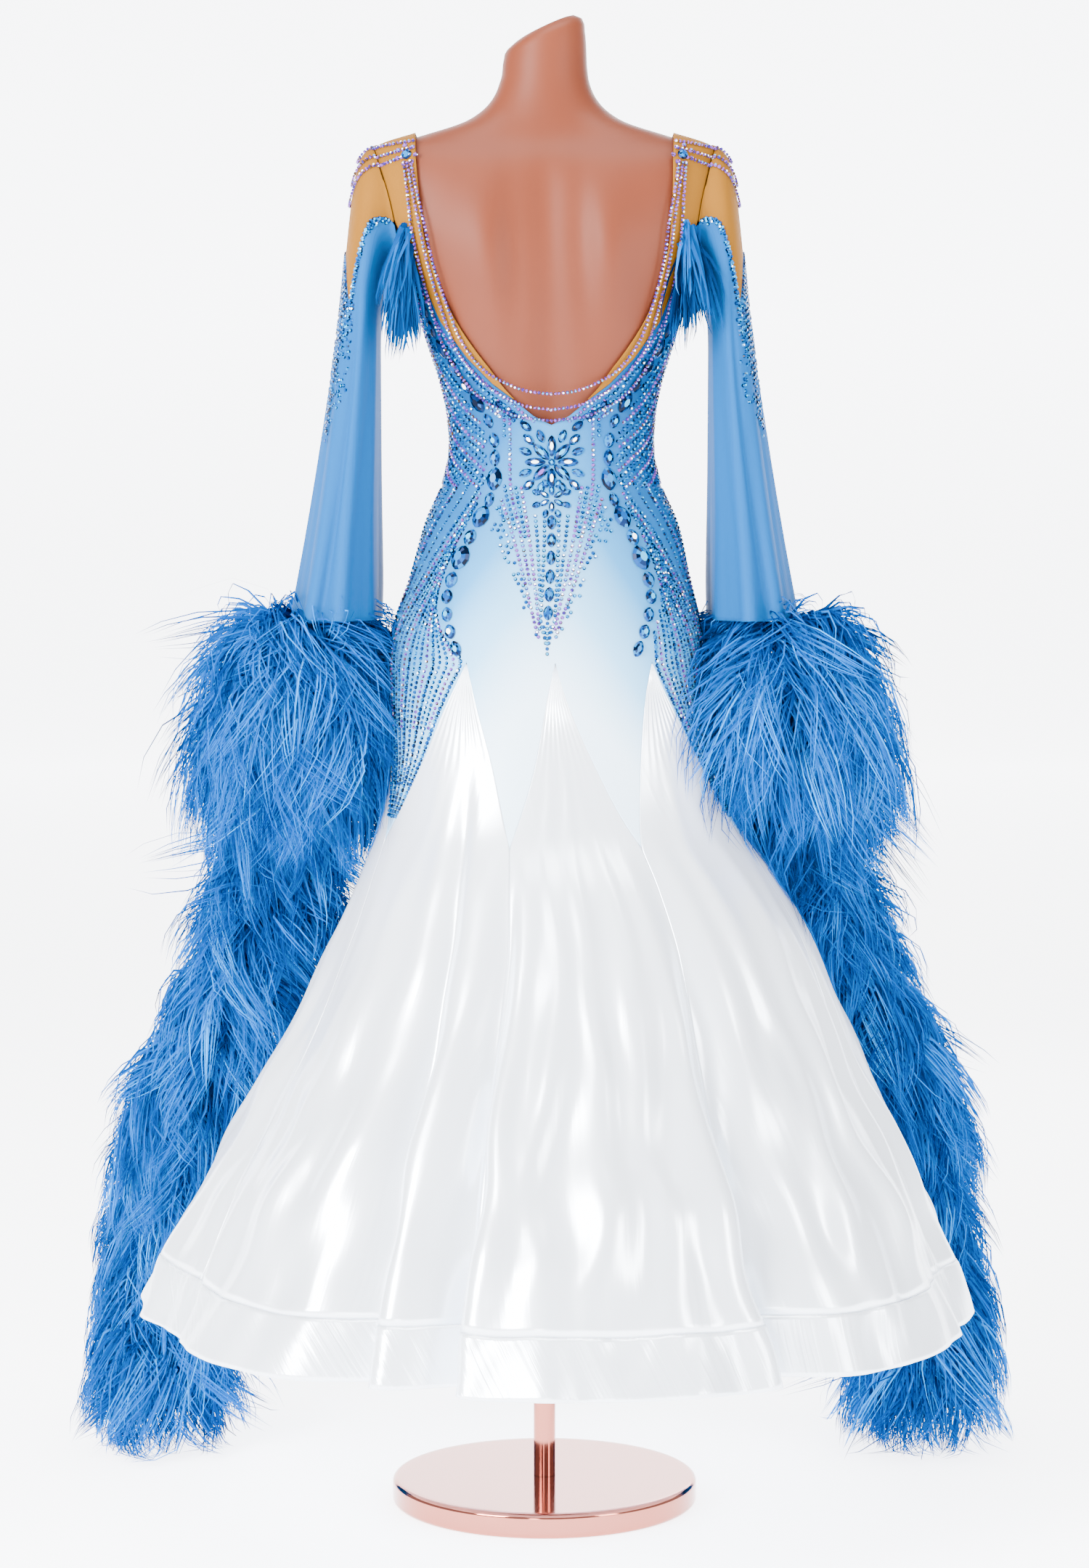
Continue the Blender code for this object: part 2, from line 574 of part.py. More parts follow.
def yoke(side):
    """The mesh yoke of one shoulder: up the open back's edge, over the shoulder and down to the front."""
    arm_x, arm_z = arm_edge(np.array(YOKE_BACK_ANGLES))
    outer_x = np.append(BACK_TOP["half_width"][YOKE_FOOT:-1], arm_x)
    outer_z = np.append(BACK_TOP["height"][YOKE_FOOT:-1], arm_z)
    back = [(*row, False) for row in zip(NECK_BACK["half_width"], NECK_BACK["height"], outer_x, outer_z)]
    front_edge = arm_edge(np.array(YOKE_FRONT_ANGLES))
    front = [(*row, True) for row in zip(NECK_FRONT["half_width"], NECK_FRONT["height"], *front_edge)]
    strip = back + front[::-1][1:]
    shares = np.linspace(0, 1, YOKE_ACROSS)
    turns, heights = [], []
    for x, z, ox, oz, on_front in strip:
        height = z + shares * (oz - z)
        reach = x + shares * (ox - x)
        turns.append(turn_at(reach, height, on_front))
        heights.append(height)
    turns, heights = side * np.array(turns), np.array(heights)
    name = "mesh_yoke_left" if side < 0 else "mesh_yoke_right"
    wall(name, gown(turns, heights), gown_lifted(turns, heights, CLOTH), material("nude_mesh", NUDE, 0.6))


# The sleeves

def sleeve_surface(side):
    """The inner face of one sleeve: angle 0 is its outer edge, 90 its back; rows run down to the cuff."""
    numbered = dict(SLEEVE, row=np.arange(len(SLEEVE["mid_y"])))

    def surface(angle, row):
        angle, row = np.broadcast_arrays(np.asarray(angle, float), np.asarray(row, float))
        outer_x, outer_z, inner_x, inner_z, mid_y, half_depth = (
            smooth(numbered, column, row, key="row")
            for column in ("outer_x", "outer_z", "inner_x", "inner_z", "mid_y", "half_depth")
        )
        along, across = np.cos(np.radians(angle)), np.sin(np.radians(angle))
        cuff_share = np.clip(row / (len(SLEEVE["mid_y"]) - 1), 0, 1)
        wave = 1 + SLEEVE_WAVE * cuff_share**2 * np.cos(np.radians(SLEEVE_WAVES * angle)) * across**2
        x = side * ((outer_x + inner_x) / 2 + (outer_x - inner_x) / 2 * along * wave)
        y = mid_y - half_depth * across * wave
        z = (outer_z + inner_z) / 2 + (outer_z - inner_z) / 2 * along
        free = np.stack([x, y, z], axis=-1)
        edge_x, edge_z = arm_edge(angle)
        edge = gown_lifted(side * turn_at(edge_x, edge_z, across < 0), edge_z, CLOTH + GAP)
        hold = np.clip(1 - row / SLEEVE_HOLD, 0, 1)[..., None] ** 2
        return hold * edge + (1 - hold) * free

    return surface


def sleeve_lifted(side, angle, row, distance):
    angle, row = np.broadcast_arrays(np.asarray(angle, float), np.asarray(row, float))
    return lifted(sleeve_surface(side), angle, row, distance, 0.2, 0.01, sign=side)


def sleeve_angles():
    half = np.array(SLEEVE_ANGLES, float)
    return np.concatenate([half, -half[1:-1][::-1]])


def sleeve(side):
    """The blue sleeve, which starts below the mesh cap on its outer half and at the armhole on its inner."""
    angles = sleeve_angles()
    edge = np.interp(np.abs(angles), CAP_EDGE["angle"], CAP_EDGE["row"])
    before, after = (
        np.interp(np.abs(angles) + shift, CAP_EDGE["angle"], CAP_EDGE["row"])
        for shift in (-CAP_TURN, CAP_TURN)
    )
    below_cap = np.maximum(edge, np.maximum(before, after)) + CAP_SEAM
    start = np.where(np.abs(angles) <= ARM_CORNER_ANGLE, below_cap, 0)
    last = np.full_like(start, len(SLEEVE["mid_y"]) - 1)
    shares = np.linspace(0, 1, SLEEVE_ROWS)[:, None]
    rows = np.concatenate([start + shares * (CUFF_TOP_ROW - start), [last]])
    angles = np.broadcast_to(angles, rows.shape)
    name = "sleeve_left" if side < 0 else "sleeve_right"
    finish = material("sleeve_satin", BLUE, 0.35)
    surface = sleeve_surface(side)
    wall(name, surface(angles, rows), sleeve_lifted(side, angles, rows, CLOTH), finish, closed=True)


def sleeve_cap(side):
    """The pointed mesh cap over the shoulder's end."""
    half = np.array([angle for angle in SLEEVE_ANGLES if angle <= ARM_CORNER_ANGLE], float)
    angles = np.concatenate([-half[1:][::-1], half])
    edge = np.interp(np.abs(angles), CAP_EDGE["angle"], CAP_EDGE["row"])
    rows = np.linspace(0, 1, CAP_ROWS + 1)[:, None] * edge
    angles = np.broadcast_to(angles, rows.shape)
    name = "sleeve_cap_left" if side < 0 else "sleeve_cap_right"
    finish = material("nude_mesh", NUDE, 0.6)
    wall(name, sleeve_surface(side)(angles, rows), sleeve_lifted(side, angles, rows, CLOTH), finish)


# The skirt

def godet_edge(at, height):
    """The seam on a godet's far side, which is the near side of the next one: its turn at a height."""
    tip_height, tip, hem = (GODETS[column][at] for column in ("tip_height", "tip_turn", "hem_turn"))
    return tip + fold_progress(tip_height, height) * (hem - tip)


def godet_sides(at, height):
    """Both edges of a godet at a height: from its start along the tongues, then along the seams."""
    before = (at - 1) % len(GODETS["apex_turn"])
    apex = GODETS["apex_turn"][at]
    sides = []
    for seam, sign in ((before, -1), (at, 1)):
        tip_height = GODETS["tip_height"][seam]
        lower = godet_edge(seam, height)
        lower = apex + (lower - apex + 180) % 360 - 180
        share = np.clip((APEX_HEIGHT - height) / (APEX_HEIGHT - tip_height), 0, 1)
        radius = smooth(GOWN, "half_width", height)
        clearance = np.degrees(np.where(share < 1, 2 * GAP, GAP / 2) / radius)
        sides.append(apex + share * (lower - apex) - sign * clearance)
    return sides


def godet_columns(at):
    """Places across a godet, from 0 to 1, close together in the folds."""
    left, right = godet_sides(at, np.array(HEM_HEIGHT))
    span = right - left
    before = (at - 1) % len(GODETS["apex_turn"])
    nodes = [GODETS["width"][before] * step for step in FOLD_NODES]
    nodes += [span - GODETS["width"][at] * step for step in FOLD_NODES]
    for row in range(len(LOOSE_FOLDS["depth"])):
        middle = (LOOSE_FOLDS["hem_turn"][row] - left + 180) % 360 - 180
        if 0 < middle < span:
            steps = [sign * step for step in FOLD_NODES for sign in (-1, 1)]
            nodes += [middle + LOOSE_FOLDS["width"][row] * step for step in steps]
    nodes = np.sort([node for node in nodes if 0 <= node <= span])
    keep = [0.0]
    for node in nodes:
        if min(node - keep[-1], span - node) > NEAR_COLUMNS:
            keep.append(node)
    return spread(keep + [span], SKIRT_SPAN) / span


def godet(at):
    levels = (HEM_BAND_TOP + GAP, *SKIRT_HEIGHTS[::-1], *TONGUE_HEIGHTS[::-1], APEX_HEIGHT - APEX_CUT)
    heights = np.array(levels)
    left, right = godet_sides(at, heights)
    turns = left[:, None] + godet_columns(at) * (right - left)[:, None]
    rows = np.broadcast_to(heights[:, None], turns.shape)
    finish = material("skirt_satin", WHITE, 0.30)
    wall("godet_" + GODET_NAMES[at], gown(turns, rows), gown_lifted(turns, rows, CLOTH), finish)


def hem_band():
    """The doubled band round the hem, one closed ring."""
    heights = np.array([HEM_HEIGHT, (HEM_HEIGHT + HEM_BAND_TOP) / 2, HEM_BAND_TOP - GAP / 2])
    parts = []
    for at in range(len(GODETS["apex_turn"])):
        left, right = godet_sides(at, heights)
        parts.append(left[:, None] + godet_columns(at)[:-1] * (right - left)[:, None])
    turns = np.concatenate(parts, axis=1)
    rows = np.broadcast_to(heights[:, None], turns.shape)
    finish = material("hem_satin", WHITE, 0.30)
    wall("hem_band", gown(turns, rows), gown_lifted(turns, rows, HEM_CLOTH), finish, closed=True)


# The feathers

def lock_fall(middle_of):
    """Where a lock's tip lies from its root: out and down, nearly flat where it is pressed to the gown."""
    def fall(point):
        centre = middle_of(point[2])
        out = point[:2] - centre
        out /= np.linalg.norm(out)
        away = centre - np.array([smooth(GOWN, "swing", point[2]), 0])
        away /= np.linalg.norm(away)
        share = PRESSED + (1 - PRESSED) * np.clip(FREE_FROM + out @ away, 0, 1)
        drop = min(LOCK_DROP * (SHORTEST_DROP + (1 - SHORTEST_DROP) * share), point[2] - FLOOR_CLEARANCE)
        return np.array([*(out * LOCK_REACH * share), -drop])

    return fall


def feather_cuff(side):
    """A hollow ring of locks round the open cuff."""
    angles = sleeve_angles()
    along, across = np.cos(np.radians(angles)), np.sin(np.radians(angles))

    def ring(of, row):
        x = side * (of["x"][row] + of["half_width"][row] * along)
        y = of["y"][row] - of["half_depth"][row] * across
        return np.stack([x, y, np.full_like(x, of["height"][row])], axis=-1)

    seat = CLOTH + GAP
    thickness = CUFF_THICKNESS * (CUFF_THINNEST + (1 - CUFF_THINNEST) * (1 + along) / 2)
    inner = np.array([
        ring(CUFF_INNER, 0), ring(CUFF_INNER, 1),
        sleeve_lifted(side, angles, len(SLEEVE["mid_y"]) - 1, seat) - (0, 0, 2 * GAP),
        sleeve_lifted(side, angles, CUFF_TOP_ROW, seat),
    ])
    outer = np.array([
        ring(CUFF_OUTER, 0), ring(CUFF_OUTER, 1), ring(CUFF_OUTER, 2),
        sleeve_lifted(side, angles, CUFF_TOP_ROW, seat + thickness[:, None]),
    ])
    rows, columns = inner.shape[:2]
    count = rows * columns
    faces = [face[::-1] for face in quads(rows, columns, True)] + rims(rows, columns, True, 0, count)
    points = np.concatenate([inner.reshape(-1, 3), outer.reshape(-1, 3)])

    def middle_of(height):
        return np.array([side * smooth(CUFF_OUTER, "x", height), smooth(CUFF_OUTER, "y", height)])

    locks = quads(rows, columns, True, first=count)
    points, faces = with_locks(points, faces, locks, lock_fall(middle_of))
    name = "feather_cuff_left" if side < 0 else "feather_cuff_right"
    solid(name, points, faces, material("feathers", FEATHER, 0.7))


def feather_float(side):
    """A long rope of locks that hangs from the cuff by its cord, beside the skirt."""
    angles = np.radians(np.arange(FLOAT_COLUMNS) * 360 / FLOAT_COLUMNS)
    levels = len(FLOAT_PATH["height"])
    rings = [
        np.stack([
            side * (FLOAT_PATH["x"][row] + FLOAT_PATH["radius"][row] * np.cos(angles)),
            FLOAT_PATH["y"][row] + FLOAT_PATH["radius"][row] * np.sin(angles),
            np.full(FLOAT_COLUMNS, FLOAT_PATH["height"][row]),
        ], axis=-1)
        for row in range(levels)
    ]
    points = np.concatenate(rings)
    all_quads = quads(levels, FLOAT_COLUMNS, True)
    split = FLOAT_LOCK_ROWS * FLOAT_COLUMNS
    locks, faces = all_quads[:split], all_quads[split:]
    foot = len(points)
    ends = [(side * FLOAT_PATH["x"][end], FLOAT_PATH["y"][end], FLOAT_PATH["height"][end]) for end in (0, -1)]
    points = np.concatenate([points, ends])
    top = (levels - 1) * FLOAT_COLUMNS
    for j in range(FLOAT_COLUMNS):
        k = (j + 1) % FLOAT_COLUMNS
        faces.append((k, j, foot))
        faces.append((top + j, top + k, foot + 1))

    def middle_of(height):
        return np.array([side * smooth(FLOAT_PATH, "x", height), smooth(FLOAT_PATH, "y", height)])

    points, faces = with_locks(points, faces, locks, lock_fall(middle_of))
    name = "feather_float_left" if side < 0 else "feather_float_right"
    solid(name, points, faces, material("feathers", FEATHER, 0.7))


def underarm_feathers(side):
    """A short strip of hanging locks on the bodice, beside the armhole's lower back edge."""
    edge_x, edge_z = arm_edge(np.array(TUFT_ANGLES))
    near_x, far_x = edge_x - TUFT_INSET, edge_x - TUFT_INSET - TUFT_WIDTH
    x = np.array([far_x, near_x])
    z = np.array([edge_z - TUFT_SLANT, edge_z])
    seat = CLOTH + TUFT_SEAT
    turns = side * turn_at(x, z)
    inner = gown_lifted(turns, z, seat)
    outer = gown_lifted(turns, z, seat + TUFT_THICKNESS)
    rows, columns = inner.shape[:2]
    count = rows * columns
    faces = [face[::-1] for face in quads(rows, columns, False)] + rims(rows, columns, False, 0, count)
    points = np.concatenate([inner.reshape(-1, 3), outer.reshape(-1, 3)])

    tip = np.array([side * TUFT_SPREAD, -TUFT_REACH, -TUFT_DROP])
    locks = quads(rows, columns, False, first=count)
    points, faces = with_locks(points, faces, locks, lambda point: tip)
    name = "underarm_feathers_left" if side < 0 else "underarm_feathers_right"
    solid(name, points, faces, material("dark_feathers", DARK_FEATHER, 0.7))


# The set stones

def garland(side):
    """A scalloped band of set stones from the armpit by the waist to a godet's start."""
    marked = dict(GARLAND, share=np.linspace(0, 1, len(GARLAND["x"])))
    share = np.linspace(0, 1, GARLAND_STEPS + 1)
    x, height, width = (
        smooth(marked, column, share, key="share") for column in ("x", "height", "half_width")
    )
    width = width * (1 - GARLAND_SCALLOP * (np.arange(GARLAND_STEPS + 1) % 2))
    slope = np.stack([np.gradient(x), np.gradient(height)], axis=-1)
    slope /= np.linalg.norm(slope, axis=-1, keepdims=True)
    across = np.array([-1, 0, 1])[:, None] * width
    xs, heights = x - across * slope[:, 1], height + across * slope[:, 0]
    turns = side * turn_at(xs, heights)
    seat = CLOTH + STONE_SEAT
    crown = seat + np.array(GARLAND_LEVELS)[:, None] * GARLAND_CROWN
    inner = gown_lifted(turns, heights, seat)
    outer = gown_lifted(turns, heights, crown[..., None])
    name = "stone_garland_left" if side < 0 else "stone_garland_right"
    wall(name, inner, outer, material("stones", STONE, 0.1))


def brooch(name, side, place):
    """A flower of set stones: petals round a raised middle, on the gown's surface."""
    x, height, radius, petals, between = place
    steps = 2 * petals
    angles = np.arange(steps) * 2 * np.pi / steps
    edge = radius * np.where(np.arange(steps) % 2, between, 1.0)
    rings = []
    for share, rise in BROOCH_LEVELS:
        xs, zs = side * x + share * edge * np.sin(angles), height + share * edge * np.cos(angles)
        up = np.full((steps, 1), CLOTH + STONE_SEAT + rise * JEWEL_CROWN)
        rings.append(gown_lifted(turn_at(xs, zs), zs, up))
    middle = np.array([side * x])
    ends = [gown_lifted(turn_at(middle, np.array([height])), np.array([height]), CLOTH + STONE_SEAT + up)
            for up in (0.0, JEWEL_CROWN)]
    points = np.concatenate([*rings, *ends])
    faces = quads(len(rings), steps, closed=True)
    foot, top = len(rings) * steps, (len(rings) - 1) * steps
    for j in range(steps):
        k = (j + 1) % steps
        faces.append((k, j, foot))
        faces.append((top + j, top + k, foot + 1))
    solid(name, points, faces, material("stones", STONE, 0.1))


# The whole part

COLLECTION = "ballroom_gown"

for old in list(bpy.data.objects):
    bpy.data.objects.remove(old, do_unlink=True)
bpy.context.scene.collection.children.link(bpy.data.collections.new(COLLECTION))

stand_base()
stand_pole()
form_torso()
bodice(front=False)
bodice(front=True)
for at in range(len(GODET_NAMES)):
    godet(at)
hem_band()
for side in (-1, 1):
    yoke(side)
    sleeve_cap(side)
    sleeve(side)
    feather_cuff(side)
    feather_float(side)
    underarm_feathers(side)
    garland(side)
brooch("stone_rosette", 1, ROSETTE)
brooch("shoulder_jewel_left", -1, SHOULDER_JEWEL)
brooch("shoulder_jewel_right", 1, SHOULDER_JEWEL)
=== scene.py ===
# %% [markdown]
# # A ballroom gown on a dress form
# The gown is open at the back, with a fitted bodice, eight flared godets let into its lower edge, long
# sleeves with feather cuffs and two hanging feather floats. It stands on a limbless form with a pole and a
# round base. Each piece below is a surface worked out with numpy from the same few tables as the solid
# part, so that it lies exactly where the solids are.

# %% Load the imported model
import math

import bpy
import numpy as np
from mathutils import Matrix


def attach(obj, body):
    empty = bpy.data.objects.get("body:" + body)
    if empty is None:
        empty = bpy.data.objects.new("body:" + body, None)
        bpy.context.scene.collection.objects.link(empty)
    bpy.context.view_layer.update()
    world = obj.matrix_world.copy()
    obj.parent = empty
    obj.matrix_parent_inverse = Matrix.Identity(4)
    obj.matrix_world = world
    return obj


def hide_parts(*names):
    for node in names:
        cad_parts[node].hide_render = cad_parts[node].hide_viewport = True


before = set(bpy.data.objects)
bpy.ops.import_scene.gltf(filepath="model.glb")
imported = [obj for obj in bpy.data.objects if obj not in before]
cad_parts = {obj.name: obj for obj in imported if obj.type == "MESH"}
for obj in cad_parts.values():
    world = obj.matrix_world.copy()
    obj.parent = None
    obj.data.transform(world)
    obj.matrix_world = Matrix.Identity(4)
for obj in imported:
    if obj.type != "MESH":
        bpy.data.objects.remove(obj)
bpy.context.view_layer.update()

# %% [markdown]
# A camera far away with a long lens shows the gown nearly without perspective. It looks slightly down, so
# that the hem and the base show as ovals. A long lens belongs to a far camera: the two are chosen together.

# %% The camera
LENS, SENSOR = 87.3, 36.0
CAMERA_PLACE, CAMERA_TILT = (0, -4.4, 1.18), 4.37
camera = bpy.data.objects.new("camera", bpy.data.cameras.new("camera"))
bpy.context.scene.collection.objects.link(camera)
camera.data.sensor_fit = "VERTICAL"
camera.data.sensor_height = SENSOR
camera.data.lens = LENS
camera.location = CAMERA_PLACE
camera.rotation_euler = (math.radians(90 - CAMERA_TILT), 0, 0)
bpy.context.scene.camera = camera
print("camera at", tuple(camera.location))

# %% [markdown]
# ## Tables and how they are read
# A dressmaker works with measures at a few heights and lets the curve between them run smoothly. The tables
# do the same: a cubic goes through the rows and never overshoots them, so that no waist gets a false dent.

# %% Tables
def table(columns, rows):
    """Named columns over rows of numbers."""
    values = np.array(rows, float)
    return {name: values[:, at] for at, name in enumerate(columns.split())}


def smooth(of, column, at, key="height"):
    """A column at any place: a cubic between rows, whose slopes are the mean of the two sides' rises."""
    keys, values = of[key], of[column]
    at = np.clip(at, keys[0], keys[-1])
    steps = np.diff(keys)
    rises = np.diff(values) / steps
    slopes = np.concatenate([rises[:1], (rises[1:] + rises[:-1]) / 2, rises[-1:]])
    slopes[np.concatenate([[False], rises[1:] * rises[:-1] <= 0, [False]])] = 0
    row = np.clip(np.searchsorted(keys, at) - 1, 0, len(steps) - 1)
    t = (at - keys[row]) / steps[row]
    start, end = values[row], values[row + 1]
    leave, arrive = slopes[row] * steps[row], slopes[row + 1] * steps[row]
    cubic = (2 * start - 2 * end + leave + arrive) * t**3 + (3 * end - 3 * start - 2 * leave - arrive) * t**2
    return cubic + leave * t + start


def fade(low, high, at):
    """0 below low and 1 above high, with a soft step between."""
    t = np.clip((at - low) / (high - low), 0, 1)
    return t * t * (3 - 2 * t)


# %% [markdown]
# The gown's table gives its sections from the hem to the shoulders: half the width, the depths of back and
# front, how full the oval's corners are, and how far the gown swings aside. The godets' table gives where
# the fold beside each one starts, ends and leans. All turns are in degrees and all lengths in metres.

# %% Sizes of the gown
CLOTH, HEM_CLOTH = 0.0015, 0.0022
GAP = 0.0003
FORM_CLEARANCE, SHOULDER_CLEARANCE = 0.0038, 0.0030
HEM_HEIGHT, HEM_BAND_TOP, APEX_HEIGHT, V_HEIGHT = 0.232, 0.294, 0.990, 1.258
GOWN = table("height half_width back front power swing", [
    (0.232, 0.4880, 0.486, 0.484, 2.00, 0.020),
    (0.300, 0.4570, 0.456, 0.454, 2.00, 0.023),
    (0.400, 0.4100, 0.410, 0.407, 2.00, 0.026),
    (0.481, 0.3640, 0.364, 0.361, 2.00, 0.028),
    (0.570, 0.3180, 0.312, 0.308, 2.00, 0.032),
    (0.663, 0.2765, 0.262, 0.256, 2.02, 0.034),
    (0.740, 0.2370, 0.218, 0.208, 2.06, 0.027),
    (0.800, 0.2065, 0.178, 0.164, 2.10, 0.018),
    (0.870, 0.1880, 0.150, 0.134, 2.20, 0.012),
    (0.950, 0.1815, 0.134, 0.117, 2.30, 0.004),
    (1.020, 0.1770, 0.127, 0.108, 2.30, 0.003),
    (1.080, 0.1600, 0.114, 0.103, 2.30, 0.006),
    (1.147, 0.1420, 0.094, 0.099, 2.30, 0.008),
    (1.190, 0.1240, 0.082, 0.096, 2.30, 0.008),
    (1.235, 0.1150, 0.077, 0.094, 2.30, 0.008),
    (1.290, 0.1205, 0.080, 0.100, 2.30, 0.0075),
    (1.340, 0.1350, 0.089, 0.117, 2.35, 0.007),
    (1.390, 0.1500, 0.097, 0.128, 2.50, 0.006),
    (1.446, 0.1670, 0.100, 0.118, 2.90, 0.004),
    (1.490, 0.1820, 0.097, 0.100, 3.20, 0.002),
    (1.530, 0.1910, 0.089, 0.084, 3.20, 0.001),
    (1.560, 0.1940, 0.078, 0.072, 3.00, 0.000),
    (1.576, 0.1890, 0.068, 0.062, 2.70, 0.000),
    (1.590, 0.1470, 0.058, 0.052, 2.40, 0.000),
])
GODETS = table("apex_turn tip_turn hem_turn tip_height depth width lean", [
    (-90.0, -72.0, -68.0, 0.785, 0.022, 9.0, 0.0),
    (-37.5, -18.0, -20.2, 0.785, 0.060, 4.2, 6.2),
    (4.0, 27.0, 35.5, 0.785, 0.066, 4.6, -6.8),
    (48.0, 76.0, 74.0, 0.785, 0.022, 9.0, 0.0),
    (90.0, 112.0, 113.0, 0.785, 0.055, 5.0, 5.5),
    (135.0, 157.0, 156.0, 0.785, 0.058, 4.6, -6.0),
    (180.0, 203.0, 204.0, 0.785, 0.058, 4.6, 6.0),
    (225.0, 248.0, 247.0, 0.785, 0.055, 5.0, -5.5),
])
GODET_NAMES = ("left", "back_left", "back", "back_right", "right", "front_right", "front", "front_left")
LOOSE_FOLDS = table("start top_turn hem_turn depth width lean", [
    (0.880, -37.0, -31.5, 0.050, 4.0, 5.6),
    (0.560, 92.0, 93.0, 0.030, 6.0, 3.0),
    (0.600, 178.0, 181.0, 0.034, 6.0, -3.5),
])
print("the gown's table has", len(GOWN["height"]), "heights")

# %% [markdown]
# ## The gown's surface
# A place on the gown is its turn (degrees round the body from the middle of the back towards +X) and its
# height. A section is a superellipse: an oval whose corners can be made fuller. Folds are bells across a
# line that runs down to the hem. A fold both draws the cloth in and carries its bottom sideways, so that
# one lobe of the skirt lies over the next, as heavy satin does.

# %% The surface and its normal
TURN_STEP, HEIGHT_STEP = 0.05, 0.0005


def fold_progress(start, height):
    """0 where a fold starts and 1 at the hem."""
    return np.clip((start - height) / (start - HEM_HEIGHT), 0, 1)


def fold_pull(turn, height):
    """The large folds' pull inwards and sideways: for each, a bell across its line times its progress."""
    inward = np.zeros(np.broadcast(turn, height).shape)
    sideways = np.zeros_like(inward)
    for folds, start, top in ((GODETS, "tip_height", "tip_turn"), (LOOSE_FOLDS, "start", "top_turn")):
        for row in range(len(folds["depth"])):
            progress = fold_progress(folds[start][row], height)
            middle = folds[top][row] + progress * (folds["hem_turn"][row] - folds[top][row])
            away = (turn - middle + 180) % 360 - 180
            bump = np.exp(-((away / folds["width"][row]) ** 2)) * progress
            inward += folds["depth"][row] * bump
            sideways += folds["lean"][row] * bump
    return inward, sideways


def superellipse(turn, half_width, back, front, power):
    """x and y of a section: the radius at a turn is that of an oval with the given power instead of 2."""
    across, along = np.sin(np.radians(turn)), np.cos(np.radians(turn))
    depth = np.where(along > 0, back, front)
    radius = (np.abs(across / half_width) ** power + np.abs(along / depth) ** power) ** (-1 / power)
    return radius * across, -radius * along


def gown(turn, height):
    """The cloth's inner face: a superellipse, drawn in and carried sideways by the folds."""
    turn, height = np.broadcast_arrays(np.asarray(turn, float), np.asarray(height, float))
    inward, sideways = fold_pull(turn, height)
    half_width = smooth(GOWN, "half_width", height)
    x, y = superellipse(turn + sideways, half_width, smooth(GOWN, "back", height),
                        smooth(GOWN, "front", height), smooth(GOWN, "power", height))
    share = 1 - inward / half_width
    return np.stack([smooth(GOWN, "swing", height) + x * share, y * share, height], axis=-1)


def lifted(surface, u, v, distance, u_step, v_step, sign=1):
    """Points moved out along the normal, which is the cross product of the steps along u and v."""
    along_u = surface(u + u_step, v) - surface(u - u_step, v)
    along_v = surface(u, v + v_step) - surface(u, v - v_step)
    normal = sign * np.cross(along_u, along_v)
    normal /= np.linalg.norm(normal, axis=-1, keepdims=True)
    distance = np.asarray(distance, float)
    return surface(u, v) + (distance[..., None] if distance.ndim else distance) * normal


def on_gown(turn, height, distance=0.0):
    """A place on the gown, this far out from the cloth's inner face."""
    turn, height = np.broadcast_arrays(np.asarray(turn, float), np.asarray(height, float))
    return lifted(gown, turn, height, distance, TURN_STEP, HEIGHT_STEP)


def turn_at(x, height, front=False):
    """The turn of the place at this x, on the back or on the front."""
    half_width, power = smooth(GOWN, "half_width", height), smooth(GOWN, "power", height)
    depth = np.where(front, smooth(GOWN, "front", height), smooth(GOWN, "back", height))
    reach = np.clip(np.abs(x) / half_width, 0, 1)
    away = depth * (1 - reach**power) ** (1 / power)
    turn = np.degrees(np.arctan2(reach * half_width, away)) * np.sign(x)
    return np.where(front, 180 - turn, turn)


# %% [markdown]
# ## Meshes from grids
# Every sheet is a grid of points, so one helper makes them all. It writes whole arrays into the mesh,
# which is far quicker than adding one vertex after another, and gives each point its place on the cut
# (metres along and across the cloth), so that a weave follows the cloth and not the room.

# %% Making meshes
def grid_faces(rows, columns, closed=False):
    """The four corner numbers of each cell; a closed grid joins its last column to its first."""
    i = np.arange(rows - 1)[:, None]
    j = np.arange(columns if closed else columns - 1)[None, :]
    k = (j + 1) % columns
    cells = (i * columns + j, i * columns + k, (i + 1) * columns + k, (i + 1) * columns + j)
    return np.stack(np.broadcast_arrays(*cells), axis=-1).reshape(-1, 4)


def add_piece(name, points, faces, finish, smooth_shaded=True, uv=None, **attributes):
    """One object of these points and faces; uv is per corner, and an attribute per point or per face."""
    mesh = bpy.data.meshes.new(name)
    faces = [faces] if isinstance(faces, np.ndarray) else faces
    corners = np.concatenate([part.ravel() for part in faces]).astype(np.int32)
    widths = np.concatenate([np.full(len(part), part.shape[1]) for part in faces])
    mesh.vertices.add(len(points))
    mesh.vertices.foreach_set("co", np.asarray(points, np.float32).ravel())
    mesh.loops.add(len(corners))
    mesh.loops.foreach_set("vertex_index", corners)
    mesh.polygons.add(len(widths))
    mesh.polygons.foreach_set("loop_start", np.concatenate([[0], np.cumsum(widths)[:-1]]).astype(np.int32))
    mesh.update(calc_edges=True)
    if uv is not None:
        layer = mesh.uv_layers.new(name="Cut")
        layer.data.foreach_set("uv", np.asarray(uv, np.float32).ravel())
    for key, values in attributes.items():
        domain = "POINT" if len(values) == len(points) else "FACE"
        mesh.attributes.new(key, "FLOAT", domain).data.foreach_set("value", np.asarray(values, np.float32))
    mesh.polygons.foreach_set("use_smooth", np.full(len(widths), smooth_shaded))
    mesh.materials.append(finish)
    piece = bpy.data.objects.new(name, mesh)
    bpy.context.scene.collection.objects.link(piece)
    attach(piece, "root")
    return piece

# %% [markdown]
# A cloth piece is one layer of points with a wall given to it by Solidify, which keeps the grid light. Its
# flat size is measured and not guessed: the steps along the grid are added up on the cut.

